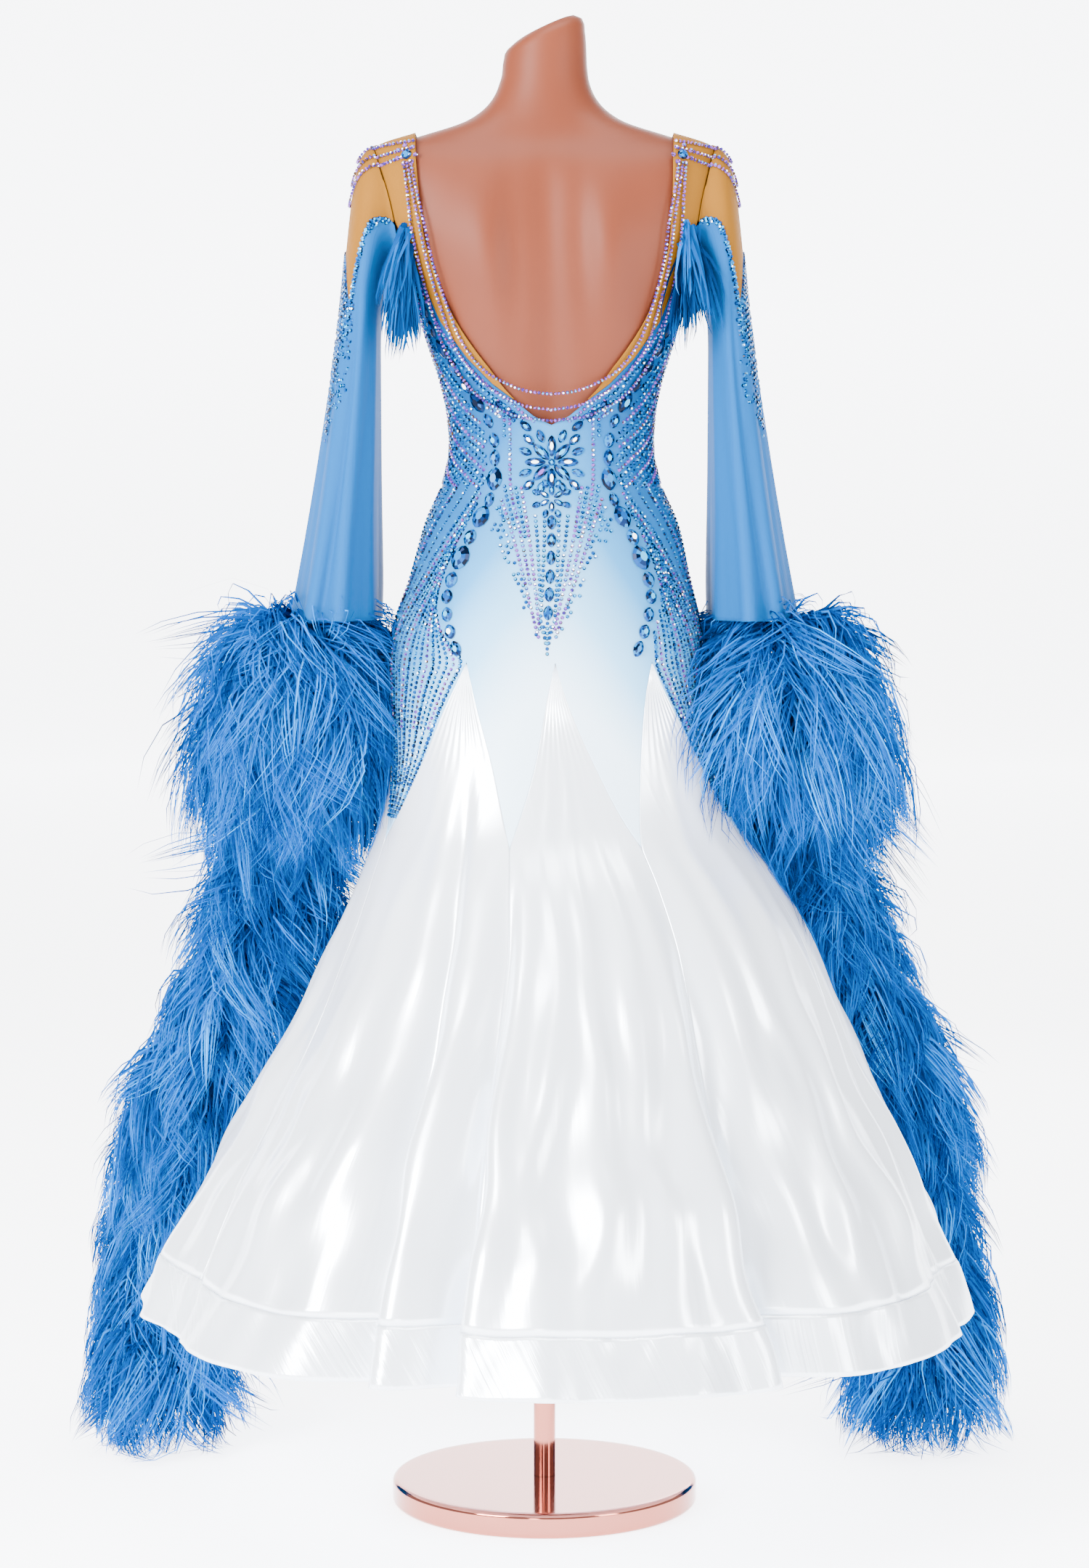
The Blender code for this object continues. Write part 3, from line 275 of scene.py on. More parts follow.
# %% Cloth pieces
def grid_normals(points, closed):
    """A normal for each point of a grid: the cross product of the steps along its two directions."""
    if closed:
        along = np.roll(points, -1, axis=1) - np.roll(points, 1, axis=1)
    else:
        along = np.gradient(points, axis=1)
    normal = np.cross(along, np.gradient(points, axis=0))
    return normal / np.maximum(np.linalg.norm(normal, axis=-1, keepdims=True), 1e-12)


def add_sheet(name, points, finish, inside, closed=False, wall=CLOTH, plumb=False, **attributes):
    """A grid of points on the cloth's outer face, turned so that it faces away from inside, with a wall.

    The cut is measured along rows and columns; a plumb piece, whose rows aren't level, by level and height.
    """
    rows, columns = points.shape[:2]
    faces = grid_faces(rows, columns, closed)
    facing = (grid_normals(points, closed) * (points - inside)).sum()
    steps = np.diff(points, axis=1, append=points[:, :1])
    across = np.linalg.norm(steps[..., :2] if plumb else steps, axis=-1)
    across = np.concatenate([np.zeros((rows, 1)), np.cumsum(across, axis=1)], axis=1)
    down = np.linalg.norm(np.diff(points, axis=0, prepend=points[:1]), axis=-1).mean(axis=1)
    down = np.broadcast_to(np.cumsum(down)[:, None], across.shape)
    if plumb:
        down = np.concatenate([points[..., 2], points[:, :1, 2]], axis=1)
    cut = np.stack([across - across.mean(axis=1, keepdims=True), -down], axis=-1)
    i, j = np.divmod(np.arange(len(faces)), columns if closed else columns - 1)
    uv = np.stack([cut[i, j], cut[i, j + 1], cut[i + 1, j + 1], cut[i + 1, j]], axis=1)
    if facing < 0:
        faces, uv = faces[:, ::-1], uv[:, ::-1]
    flat = {key: np.broadcast_to(values, (rows, columns)).ravel() for key, values in attributes.items()}
    piece = add_piece(name, points.reshape(-1, 3), faces, finish, uv=uv, **flat)
    shell = piece.modifiers.new("Cloth wall", "SOLIDIFY")
    shell.thickness = wall
    shell.offset = -1.0
    return piece


def cut_of(piece):
    mesh = piece.data
    uv = np.zeros(len(mesh.loops) * 2, np.float32)
    mesh.uv_layers["Cut"].data.foreach_get("uv", uv)
    uv = uv.reshape(-1, 2)
    areas = np.zeros(len(mesh.polygons), np.float32)
    mesh.polygons.foreach_get("area", areas)

# %% [markdown]
# ## Light and floor
# The gown is lit as in a small studio: a bright room, one large soft light at the left, a smaller one at the
# right and strips that draw streaks in the satin. Satin shows its folds only by what it reflects, so the
# room may not be equally bright all round.

# %% Floor and lights
PAPER_GLOW, ROOM_LIGHT = 4.6, 1.0
FLOOR_REACH, WALL_BEND = 12.0, 2.0


def plain_finish(name, colour, roughness, metallic=0.0):
    """A material with its main shader's sockets set, and that shader."""
    made = bpy.data.materials.new(name)
    made.use_nodes = True
    shader = made.node_tree.nodes["Principled BSDF"]
    shader.inputs["Base Color"].default_value = (*colour, 1)
    shader.inputs["Roughness"].default_value = roughness
    shader.inputs["Metallic"].default_value = metallic
    return made, shader


def studio_floor():
    """A floor that turns up into a wall far behind: straight, a quarter of a circle, straight."""
    turn = np.radians(np.linspace(0, 90, 24))
    wall = FLOOR_REACH + WALL_BEND
    depth = np.concatenate([[-FLOOR_REACH], FLOOR_REACH + WALL_BEND * np.sin(turn), [wall]])
    height = np.concatenate([[0.0], WALL_BEND - WALL_BEND * np.cos(turn), [FLOOR_REACH]])
    across = np.array([-FLOOR_REACH, FLOOR_REACH])[:, None]
    points = np.stack(np.broadcast_arrays(across, depth[None], height[None]), axis=-1)
    paper, paper_shader = plain_finish("floor_paper", (0.92, 0.93, 0.96), 0.9)
    paper_shader.inputs["Emission Color"].default_value = (0.97, 0.98, 1.0, 1)
    paper_shader.inputs["Emission Strength"].default_value = PAPER_GLOW
    floor = add_piece("studio_floor", points.reshape(-1, 3), grid_faces(2, depth.size), paper)


def soft_light(name, place, aim, size, power, colour=(1, 1, 1)):
    """A rectangular area light at a place that faces a point."""
    lamp = bpy.data.lights.new(name, "AREA")
    lamp.shape = "RECTANGLE"
    lamp.size, lamp.size_y = size
    lamp.energy = power
    lamp.color = colour
    light = bpy.data.objects.new(name, lamp)
    bpy.context.scene.collection.objects.link(light)
    x, y, z = (a - p for a, p in zip(aim, place))
    light.location = place
    light.rotation_euler = (math.atan2(math.hypot(x, y), -z), 0, math.atan2(y, x) - math.pi / 2)


studio_floor()
world = bpy.data.worlds.new("studio")
world.use_nodes = True
world.node_tree.nodes["Background"].inputs["Color"].default_value = (0.95, 0.96, 1.0, 1)
world.node_tree.nodes["Background"].inputs["Strength"].default_value = ROOM_LIGHT
bpy.context.scene.world = world
soft_light("key", (-2.6, -3.0, 2.3), (0, 0, 1.0), (1.6, 2.2), 680)
soft_light("fill", (2.9, -2.6, 1.6), (0, 0, 0.9), (1.0, 2.4), 160)
soft_light("top", (0, -0.6, 3.6), (0, 0, 0.8), (2.4, 1.6), 160)
soft_light("strip", (-0.6, -4.6, 0.5), (0, 0, 0.5), (0.5, 1.6), 60)
soft_light("back", (0.8, 3.4, 2.2), (0, 0, 1.0), (2.0, 2.0), 60)

# %% [markdown]
# ## Finishes of the cloth
# Skirt and hem are a liquid satin: a white cloth with a nearly metallic face. Its threads run down the
# cloth, so its small waves are long and narrow. The pattern lies on the cut, which is the piece's UV map.
# The bodice is a stretch satin that is dyed from azure to ice blue; an attribute on its points carries
# the dye. Sleeves and yokes are thin, so a small share of the light goes straight through.

# %% Satin, stretch satin and net
def cloth_waves(made, shader, scale, depth):
    """A bump of noise, stretched by scale (across, along) on the cut."""
    nodes, links = made.node_tree.nodes, made.node_tree.links
    cut = nodes.new("ShaderNodeUVMap")
    cut.uv_map = "Cut"
    stretch = nodes.new("ShaderNodeMapping")
    stretch.inputs["Scale"].default_value = (*scale, 1)
    noise = nodes.new("ShaderNodeTexNoise")
    noise.inputs["Scale"].default_value = 1.0
    noise.inputs["Detail"].default_value = 3.0
    noise.inputs["Distortion"].default_value = 0.6
    bump = nodes.new("ShaderNodeBump")
    bump.inputs["Strength"].default_value = 1.0
    bump.inputs["Distance"].default_value = depth
    links.new(cut.outputs["UV"], stretch.inputs["Vector"])
    links.new(stretch.outputs["Vector"], noise.inputs["Vector"])
    links.new(noise.outputs["Fac"], bump.inputs["Height"])
    links.new(bump.outputs["Normal"], shader.inputs["Normal"])


def colour_ramp(made, source, shader_socket, stops, constant=False):
    """A ramp of colours from a source value into a socket."""
    ramp = made.node_tree.nodes.new("ShaderNodeValToRGB")
    ramp.color_ramp.interpolation = "CONSTANT" if constant else "LINEAR"
    marks = ramp.color_ramp.elements
    while len(marks) < len(stops):
        marks.new(0.5)
    for mark, (place, colour) in zip(marks, stops):
        mark.position = place
        mark.color = (*colour, 1)
    made.node_tree.links.new(source, ramp.inputs["Fac"])
    made.node_tree.links.new(ramp.outputs["Color"], shader_socket)


def attribute(made, name):
    """The value that each point or face of the mesh carries under this name."""
    node = made.node_tree.nodes.new("ShaderNodeAttribute")
    node.attribute_name = name
    return node.outputs["Fac"]


def clouds(made, scale):
    """Noise on the piece's own place, as a value."""
    place = made.node_tree.nodes.new("ShaderNodeTexCoord")
    noise = made.node_tree.nodes.new("ShaderNodeTexNoise")
    noise.inputs["Scale"].default_value = scale
    made.node_tree.links.new(place.outputs["Object"], noise.inputs["Vector"])
    return noise.outputs["Fac"]


def sheer(made, shader, open_share):
    """Lets a share of the light straight through, as a net does."""
    nodes, links = made.node_tree.nodes, made.node_tree.links
    out = nodes["Material Output"]
    clear = nodes.new("ShaderNodeBsdfTransparent")
    mix = nodes.new("ShaderNodeMixShader")
    mix.inputs["Fac"].default_value = open_share
    links.new(shader.outputs["BSDF"], mix.inputs[1])
    links.new(clear.outputs["BSDF"], mix.inputs[2])
    links.new(mix.outputs["Shader"], out.inputs["Surface"])

# %% [markdown]
# The cloths differ in colour, shine and the size of their waves, and the thin ones in the share of light they
# let through, so each is a few lines. A painted picture of folds would fix the light in the cloth; waves made
# by noise answer to any light.

# %% The cloths
WHITE = (0.86, 0.92, 1.0)
AZURE = (0.000, 0.042, 0.145)
satin, satin_shader = plain_finish("skirt_satin", WHITE, 0.26, 0.42)
cloth_waves(satin, satin_shader, (60.0, 4.0), 0.0004)
satin_shader.inputs["Sheen Weight"].default_value = 0.15
satin_shader.inputs["Sheen Roughness"].default_value = 0.4

hem_satin, hem_shader = plain_finish("hem_satin", WHITE, 0.30, 0.36)
cloth_waves(hem_satin, hem_shader, (90.0, 3.0), 0.0010)

bodice_satin, bodice_shader = plain_finish("bodice_satin", AZURE, 0.42, 0.08)
cloth_waves(bodice_satin, bodice_shader, (420.0, 420.0), 0.00012)
DYE = ((0.0, AZURE), (0.35, (0.002, 0.085, 0.250)), (0.62, (0.030, 0.200, 0.430)),
       (0.82, (0.190, 0.440, 0.670)), (1.0, (0.600, 0.760, 0.900)))
colour_ramp(bodice_satin, attribute(bodice_satin, "dye"), bodice_shader.inputs["Base Color"], DYE)

sleeve_satin, sleeve_shader = plain_finish("sleeve_satin", (0.000, 0.070, 0.230), 0.60)
cloth_waves(sleeve_satin, sleeve_shader, (260.0, 16.0), 0.0004)
sheer(sleeve_satin, sleeve_shader, 0.015)

nude_mesh, nude_shader = plain_finish("nude_mesh", (0.180, 0.074, 0.008), 0.60)
cloth_waves(nude_mesh, nude_shader, (900.0, 900.0), 0.0003)
sheer(nude_mesh, nude_shader, 0.03)
for shader in (bodice_shader, sleeve_shader, nude_shader):
    shader.inputs["Specular IOR Level"].default_value = 0.03
print("cloth finishes ready")

# %% [markdown]
# ## The stand
# The base is a spun steel disc and the pole a tube, both plated in rose gold. A profile that is turned
# round the pole gives the base; the rounded edge has enough steps to catch a clean line of light.

# %% Base and pole
def end_fans(rows, columns):
    """Triangles that close both ends of a closed grid; the points for the two middles follow the grid's."""
    k = np.arange(columns)
    after = (k + 1) % columns
    last, foot = (rows - 1) * columns, np.full(columns, rows * columns)
    return np.concatenate([
        np.stack([after, k, foot], axis=-1), np.stack([last + k, last + after, foot + 1], axis=-1),
    ])


def closed_turned(name, radius, height, steps, finish):
    """A profile carried round the upright axis, its ends closed by fans to the axis."""
    angle = np.linspace(0, 2 * np.pi, steps, endpoint=False)
    x, y = radius[:, None] * np.sin(angle), -radius[:, None] * np.cos(angle)
    points = np.stack([x, y, np.broadcast_to(height[:, None], x.shape)], axis=-1)
    ends = np.array([(0, 0, height[0]), (0, 0, height[-1])])
    faces = [grid_faces(len(radius), steps, closed=True), end_fans(len(radius), steps)]
    return add_piece(name, np.concatenate([points.reshape(-1, 3), ends]), faces, finish)


BASE_RADIUS, BASE_HEIGHT, BASE_ROUNDING = 0.1785, 0.029, 0.006
POLE_RADIUS, FORM_FOOT = 0.01285, 0.860
rose_gold, gold_shader = plain_finish("rose_gold", (0.38, 0.128, 0.092), 0.09, 1.0)
haze = rose_gold.node_tree.nodes.new("ShaderNodeMapRange")
haze.inputs["To Min"].default_value = 0.05
haze.inputs["To Max"].default_value = 0.13
rose_gold.node_tree.links.new(clouds(rose_gold, 14.0), haze.inputs["Value"])
rose_gold.node_tree.links.new(haze.outputs["Result"], gold_shader.inputs["Roughness"])

round_turn = np.radians(np.linspace(0, 90, 9))
corner = BASE_RADIUS - BASE_ROUNDING
profile_radius = np.concatenate([
    [0.10, 0.165], corner + BASE_ROUNDING * np.sin(round_turn),
    corner + BASE_ROUNDING * np.cos(round_turn), [0.165, 0.08, 0.02],
])
profile_height = np.concatenate([
    [0, 0], BASE_ROUNDING - BASE_ROUNDING * np.cos(round_turn),
    BASE_HEIGHT - BASE_ROUNDING + BASE_ROUNDING * np.sin(round_turn), [BASE_HEIGHT] * 3,
])
pole_radius = np.full(13, POLE_RADIUS)
pole_height = np.linspace(BASE_HEIGHT + GAP, FORM_FOOT - GAP, len(pole_radius))
for name, radius, height, steps, node in (
        ("round_base", profile_radius, profile_height, 160, "stand_base"),
        ("pole", pole_radius, pole_height, 64, "stand_pole")):
    piece = closed_turned(name, radius, height, steps, rose_gold)
    piece.data.set_sharp_from_angle(angle=math.radians(30))
    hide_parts(node)
print("base", round(2 * BASE_RADIUS, 3), "m across; pole", round(2 * POLE_RADIUS, 4))

# %% [markdown]
# ## The form
# A limbless form from hips to neck. It follows the gown's own sections a few millimetres further in, and
# its open back has what a dressmaker's form has: a soft furrow down the spine, low shoulder blades and a
# shallow hollow on each side between them. All are bells on the surface's y.

# %% The form's body
FORM_FOOT_ROWS = ((0.860, 0.150, 0.100, 0.090, 2.3), (0.930, 0.166, 0.113, 0.100, 2.3))
NECK_ROWS = (
    (1.602, 0.0960, 0.054, 0.048, 2.2), (1.614, 0.0750, 0.051, 0.046, 2.0),
    (1.628, 0.0610, 0.049, 0.046, 2.0), (1.650, 0.0510, 0.047, 0.045, 2.0),
    (1.690, 0.0465, 0.044, 0.043, 2.0), (1.703, 0.0430, 0.041, 0.040, 2.0),
    (1.709, 0.0340, 0.032, 0.031, 2.0),
)
NECK_SLANT, NECK_SLANT_FROM, NECK_TOP = 0.48, 1.650, 1.711
SHOULDER_SOFTNESS = 0.014
NECK_CROWN = ((0.86, 0.0012), (0.55, 0.0020), (0.2, 0.0023))
# A bell: how deep or high it is, its distance from the middle and its height, and its half sizes.
FURROW_DEPTH, FURROW_WIDTH = 0.0100, 0.024
BLADES = (0.0075, (0.068, 1.455), (0.028, 0.065))
HOLLOWS = (0.0072, (0.040, 1.45), (0.018, 0.10))


def form_rows():
    """All of the form's sections as one table, the gown's own a little drawn in."""
    rows = list(FORM_FOOT_ROWS)
    for height in GOWN["height"][GOWN["height"] > 0.99]:
        sizes = [smooth(GOWN, key, height) - FORM_CLEARANCE for key in ("half_width", "back", "front")]
        drop = SHOULDER_CLEARANCE if height > 1.57 else 0
        rows.append((height - drop, *sizes, smooth(GOWN, "power", height)))
    return table("height half_width back front power", rows + list(NECK_ROWS))


FORM = form_rows()


def form_depth(key, height):
    """A depth of the form; over the shoulders it is a mean of five heights, so no step shows there."""
    reach = SHOULDER_SOFTNESS * fade(1.51, 1.55, height) * (1 - fade(1.635, 1.665, height))
    return sum(smooth(FORM, key, height + reach * step) for step in (-1, -0.5, 0, 0.5, 1)) / 5


def bell(x, height, size, middle, half):
    """Size times e to the minus squares of the distances from the middle, each in half sizes."""
    return size * np.exp(-(((np.abs(x) - middle[0]) / half[0]) ** 2) - ((height - middle[1]) / half[1]) ** 2)


def form_surface(turn, height):
    """The form's skin: a section less the furrow and the hollows, plus the blades."""
    half_width, power = smooth(FORM, "half_width", height), smooth(FORM, "power", height)
    x, y = superellipse(turn, half_width, form_depth("back", height), form_depth("front", height), power)
    back = fade(0.0, 0.03, -y)
    furrow = FURROW_DEPTH * np.exp(-((x / FURROW_WIDTH) ** 2))
    furrow = furrow * fade(1.10, 1.24, height) * (1 - fade(1.50, 1.60, height))
    y = y + back * (furrow - bell(x, height, *BLADES) + bell(x, height, *HOLLOWS))
    rise = NECK_SLANT * np.clip((height - NECK_SLANT_FROM) / (NECK_TOP - NECK_SLANT_FROM), 0, 1)
    return np.stack([x + smooth(GOWN, "swing", height), y, height + rise * x], axis=-1)

# %% [markdown]
# The skin is closed at the foot and over the neck. Sculpting could shape it too, but a formula keeps it a
# few millimetres under the gown. Its cover is plain: a clay colour with slow, faint clouds, a dull shine
# and a little light that spreads under the surface.

# %% The form's mesh and cover
form_heights = np.concatenate([
    np.linspace(FORM_FOOT, 1.55, 64), np.linspace(1.556, 1.64, 24), np.linspace(1.646, 1.709, 12),
])[:, None]
form_turns = np.linspace(0, 360, 120, endpoint=False)[None]
skin = form_surface(*np.broadcast_arrays(form_turns, form_heights))
rows, columns = skin.shape[:2]
rim = skin[-1]
middle = rim.mean(axis=0)
crown = [middle + (rim - middle) * share + (0, 0, lift) for share, lift in NECK_CROWN]
ends = np.array([(0, 0, FORM_FOOT), middle + (0, 0, NECK_CROWN[-1][1])])
points = np.concatenate([skin.reshape(-1, 3), *crown, ends])
rings = rows + len(NECK_CROWN)
faces = [grid_faces(rings, columns, closed=True), end_fans(rings, columns)]
form_cover, form_shader = plain_finish("form_cover", (0.105, 0.0235, 0.0095), 0.50)
form_shader.inputs["Specular IOR Level"].default_value = 0.15
form_shader.inputs["Subsurface Weight"].default_value = 0.08
form_shader.inputs["Subsurface Radius"].default_value = (0.02, 0.01, 0.008)
colour_ramp(form_cover, clouds(form_cover, 7.0), form_shader.inputs["Base Color"],
            ((0.30, (0.100, 0.0220, 0.0088)), (0.70, (0.112, 0.0252, 0.0102))))
form = add_piece("form_body", points, faces, form_cover)
form.data.set_sharp_from_angle(angle=math.radians(45))
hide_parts("form_torso")
print("form", rows, "x", columns, "points")

# %% [markdown]
# ## The bodice
# The bodice is cut as a back and a front. Its lower edge runs down to a tongue between each two godets,
# its back upper edge follows the open V and its front one a round neckline. Each column of the grid runs
# from the lower to the upper edge, so both edges come out clean whatever their shape. The dye of the cloth
# falls from azure at the shoulders to ice blue over the hips, and stays deeper at the sides.

# %% Edges of the bodice
TONGUE_HEIGHTS = (0.925, 0.85, 0.785)
ARMHOLE_TOP, ARMHOLE_FOOT, ARMHOLE_DIP = 1.575, 1.446, 0.0125
ARM_CORNER_ANGLE, ARM_CORNER = 111.0, (0.1703, 1.4874)
BACK_TOP = table("half_width height", [
    (0.0, V_HEIGHT), (0.0200, 1.2680), (0.0420, 1.2860), (0.0660, 1.3040), (0.0940, 1.3330),
    (0.1240, 1.3750), ARM_CORNER,
])
FRONT_TOP = table("half_width height", [
    (0.0, 1.440), (0.050, 1.448), (0.088, 1.474), (0.112, 1.511), ARM_CORNER,
])


def zigzag():
    """The lower edge as turns and heights: straight down each tongue to its tip and up again."""
    turns, heights = [], []
    apexes = np.append(GODETS["apex_turn"], GODETS["apex_turn"][0] + 360)
    for at, tip_turn in enumerate(GODETS["tip_turn"]):
        levels = [APEX_HEIGHT, *TONGUE_HEIGHTS]
        share = (APEX_HEIGHT - np.array(levels)) / (APEX_HEIGHT - TONGUE_HEIGHTS[-1])
        turns += list(apexes[at] + share * (tip_turn - apexes[at]))
        turns += list(apexes[at + 1] + share[-2:0:-1] * (tip_turn - apexes[at + 1]))
        heights += levels + levels[-2:0:-1]
    return np.append(turns, apexes[-1]), np.append(heights, APEX_HEIGHT)


def arm_edge(angle):
    """The armhole: an upright oval on the shoulder's end; 0 is its top and 180 the underarm."""
    middle, radius = (ARMHOLE_TOP + ARMHOLE_FOOT) / 2, (ARMHOLE_TOP - ARMHOLE_FOOT) / 2
    height = middle + radius * np.cos(np.radians(angle))
    return smooth(GOWN, "half_width", height) - ARMHOLE_DIP * np.sin(np.radians(angle)) ** 2, height


def top_curve(front, x):
    """The upper edge's height at x: straight lines between the corners, as the solids have them."""
    corners = FRONT_TOP if front else BACK_TOP
    return np.interp(x, corners["half_width"], corners["height"])


def top_edge(front):
    """The upper edge from the middle to the underarm, as turns from the middle and heights."""
    x = np.linspace(0, ARM_CORNER[0], 120)
    arm_x, arm_height = arm_edge(np.linspace(ARM_CORNER_ANGLE, 180, 30))
    height = np.append(top_curve(front, x), arm_height[1:])
    x = np.append(x, arm_x[1:])
    return turn_at(x, height), height


def stops_between(stops, most):
    """The stops, with even steps of at most this much put in between."""
    stops = np.unique(np.round(stops, 4))
    parts = [np.linspace(a, b, math.ceil((b - a) / most) + 1)[:-1] for a, b in zip(stops, stops[1:])]
    return np.append(np.concatenate(parts), stops[-1])


DYE_TOP, DYE_SIDE_DROP, DYE_DEPTH = 1.500, 0.27, 0.55


def dye(turn, height):
    """0 azure to 1 ice: how far a place lies below the dye's top, which is lower at the sides."""
    side = np.sin(np.radians(turn)) ** 2
    return np.clip((DYE_TOP - DYE_SIDE_DROP * side - height) / DYE_DEPTH, 0, 1) ** 0.80

# %% [markdown]
# Back and front end a hair's breadth apart at the side seams. The dye is worked out point by point and stored
# on the mesh, which keeps the fade soft and in its place when the gown is turned.

# %% The bodice's pieces
SIDE_SEAM = 89.93  # degrees from the middle, a hair short of the side so that back and front don't touch
BODICE_ROWS, BODICE_STEP, LOWER_MARGIN, UPPER_MARGIN = 92, 1.9, 0.0004, 0.0008


def bodice_grid(front):
    """Columns from the lower edge to the upper edge, each with the same number of even steps."""
    low_turns, low_heights = zigzag()
    edge_turns, edge_heights = top_edge(front)
    centre = 180.0 if front else 0.0
    inside = np.abs(low_turns - centre) < 90
    turns = stops_between([centre - SIDE_SEAM, centre + SIDE_SEAM, centre, *low_turns[inside]], BODICE_STEP)
    bottoms = np.interp(turns, low_turns, low_heights) + LOWER_MARGIN
    tops = np.interp(np.abs(turns - centre), edge_turns, edge_heights) - UPPER_MARGIN
    share = np.linspace(0, 1, BODICE_ROWS)[:, None]
    return np.broadcast_to(turns, (BODICE_ROWS, len(turns))), bottoms + share * (tops - bottoms)


for word, front in (("back", False), ("front", True)):
    turns, heights = bodice_grid(front)
    points = on_gown(turns, heights, CLOTH)
    depth_of_dye = dye(turns, heights)
    piece = add_sheet(f"bodice_{word}_cloth", points, bodice_satin, (0, 0, 1.1), plumb=True, dye=depth_of_dye)
    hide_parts(f"bodice_{word}")
    cut_of(piece)

# %% [markdown]
# ## Yokes and sleeves
# A strip of nude net runs up each side of the open back, over the shoulder and down to the front neckline.
# Both its edges are read from tables; the points of a row lie evenly between them.

# %% Yokes
NECK_BACK = table("half_width height", [
    (0.0400, 1.2920), (0.0600, 1.3110), (0.0840, 1.3400), (0.1120, 1.3850),
    (0.1370, 1.4600), (0.1405, 1.4870), (0.1425, 1.5120), (0.1440, 1.5360),
    (0.1453, 1.5600), (0.1460, 1.5760), (0.1465, 1.5855), (0.1470, 1.5897),
])
NECK_FRONT = table("half_width height", [
    (0.1120, 1.5150), (0.1280, 1.5400), (0.1390, 1.5600),
    (0.1440, 1.5770), (0.1460, 1.5860), (0.1470, 1.5897),
])
YOKE_BACK_ANGLES = (111, 97, 83, 67, 50, 33, 17, 0)
YOKE_FRONT_ANGLES = (111, 88, 62, 38, 19, 0)
YOKE_TUCK = 0.035  # the share of its width that lies under the sleeve cap's edge


def yoke_half(front, at):
    """The strip's inner and outer edge at rows counted from its foot, as x and height."""
    if front:
        inner, angles, diagonal = NECK_FRONT, YOKE_FRONT_ANGLES, 0
    else:
        inner, angles, diagonal = NECK_BACK, YOKE_BACK_ANGLES, 4
    rows = np.arange(len(inner["height"]), dtype=float)
    marked = dict(inner, row=rows)
    neck_z = smooth(marked, "height", at, key="row")
    neck_x = smooth(inner, "half_width", neck_z)
    arm_x, arm_z = arm_edge(np.interp(at, rows[diagonal:], angles))
    if diagonal:
        seam_x = np.interp(at, rows[:diagonal + 1], np.append(BACK_TOP["half_width"][2:-1], ARM_CORNER[0]))
        on_seam = at < diagonal
        arm_x = np.where(on_seam, seam_x, arm_x)
        arm_z = np.where(on_seam, top_curve(False, seam_x), arm_z)
    return neck_x, neck_z, arm_x, arm_z


def yoke_points(side):
    """Both halves of the strip, from the back's foot over the shoulder to the front's foot."""
    halves = []
    for front, rows in ((False, 90), (True, 44)):
        last = 5 if front else 11
        at = np.linspace(0, last, rows)
        neck_x, neck_z, arm_x, arm_z = (values[:, None] for values in yoke_half(front, at))
        share = np.linspace(0, 1, 13)[None]
        if not front:
            share = 1 - (1 - share) * fade(-0.5, 1.6, at)[:, None]
        share = share * (1 + YOKE_TUCK * ((at > 4.2) | front))[:, None]
        x, z = neck_x + share * (arm_x - neck_x), neck_z + share * (arm_z - neck_z)
        halves.append((side * turn_at(x, z, front), z))
    (back_turn, back_z), (front_turn, front_z) = halves
    turns = np.concatenate([back_turn, front_turn[::-1][1:]])
    return on_gown(turns, np.concatenate([back_z, front_z[::-1][1:]]), CLOTH)


SIDES = {"left": -1, "right": 1}
for word, side in SIDES.items():
    piece = add_sheet(f"net_yoke_{word}", yoke_points(side), nude_mesh, (side * 0.12, 0, 1.40))
    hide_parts(f"mesh_yoke_{word}")
    cut_of(piece)

# %% [markdown]
# The blue sleeve starts under a pointed cap of nude net. A sleeve is a tube: an oval whose outer edge and
# inner edge are given row by row. It leaves the armhole's seam and widens to the open end under the cuff.

# %% Sleeves and caps
SLEEVE = table("outer_x outer_z inner_x inner_z mid_y half_depth", [
    (0.1920, 1.577, 0.168, 1.445, 0.000, 0.050),
    (0.2030, 1.571, 0.173, 1.436, 0.000, 0.057),
    (0.2135, 1.550, 0.179, 1.422, 0.001, 0.062),
    (0.2205, 1.508, 0.185, 1.400, 0.002, 0.065),
    (0.2265, 1.455, 0.189, 1.372, 0.004, 0.067),
    (0.2330, 1.395, 0.190, 1.330, 0.008, 0.071),
    (0.2430, 1.320, 0.190, 1.270, 0.012, 0.079),
    (0.2550, 1.240, 0.190, 1.207, 0.018, 0.090),
    (0.2680, 1.160, 0.190, 1.145, 0.023, 0.102),
    (0.2810, 1.090, 0.190, 1.086, 0.028, 0.113),
    (0.2920, 1.035, 0.191, 1.035, 0.030, 0.120),
])
SLEEVE["row"] = np.arange(len(SLEEVE["mid_y"]), dtype=float)
SLEEVE_END, THIN_CLOTH = 10.0, 0.0008
CAP_EDGE = table("angle row", [(0.0, 3.9), (30.0, 4.15), (62.0, 4.75), (85.0, 2.2), (111.0, 0.16)])
SLEEVE_WAVE, SLEEVE_WAVES, SLEEVE_HOLD = 0.07, 7, 1.6


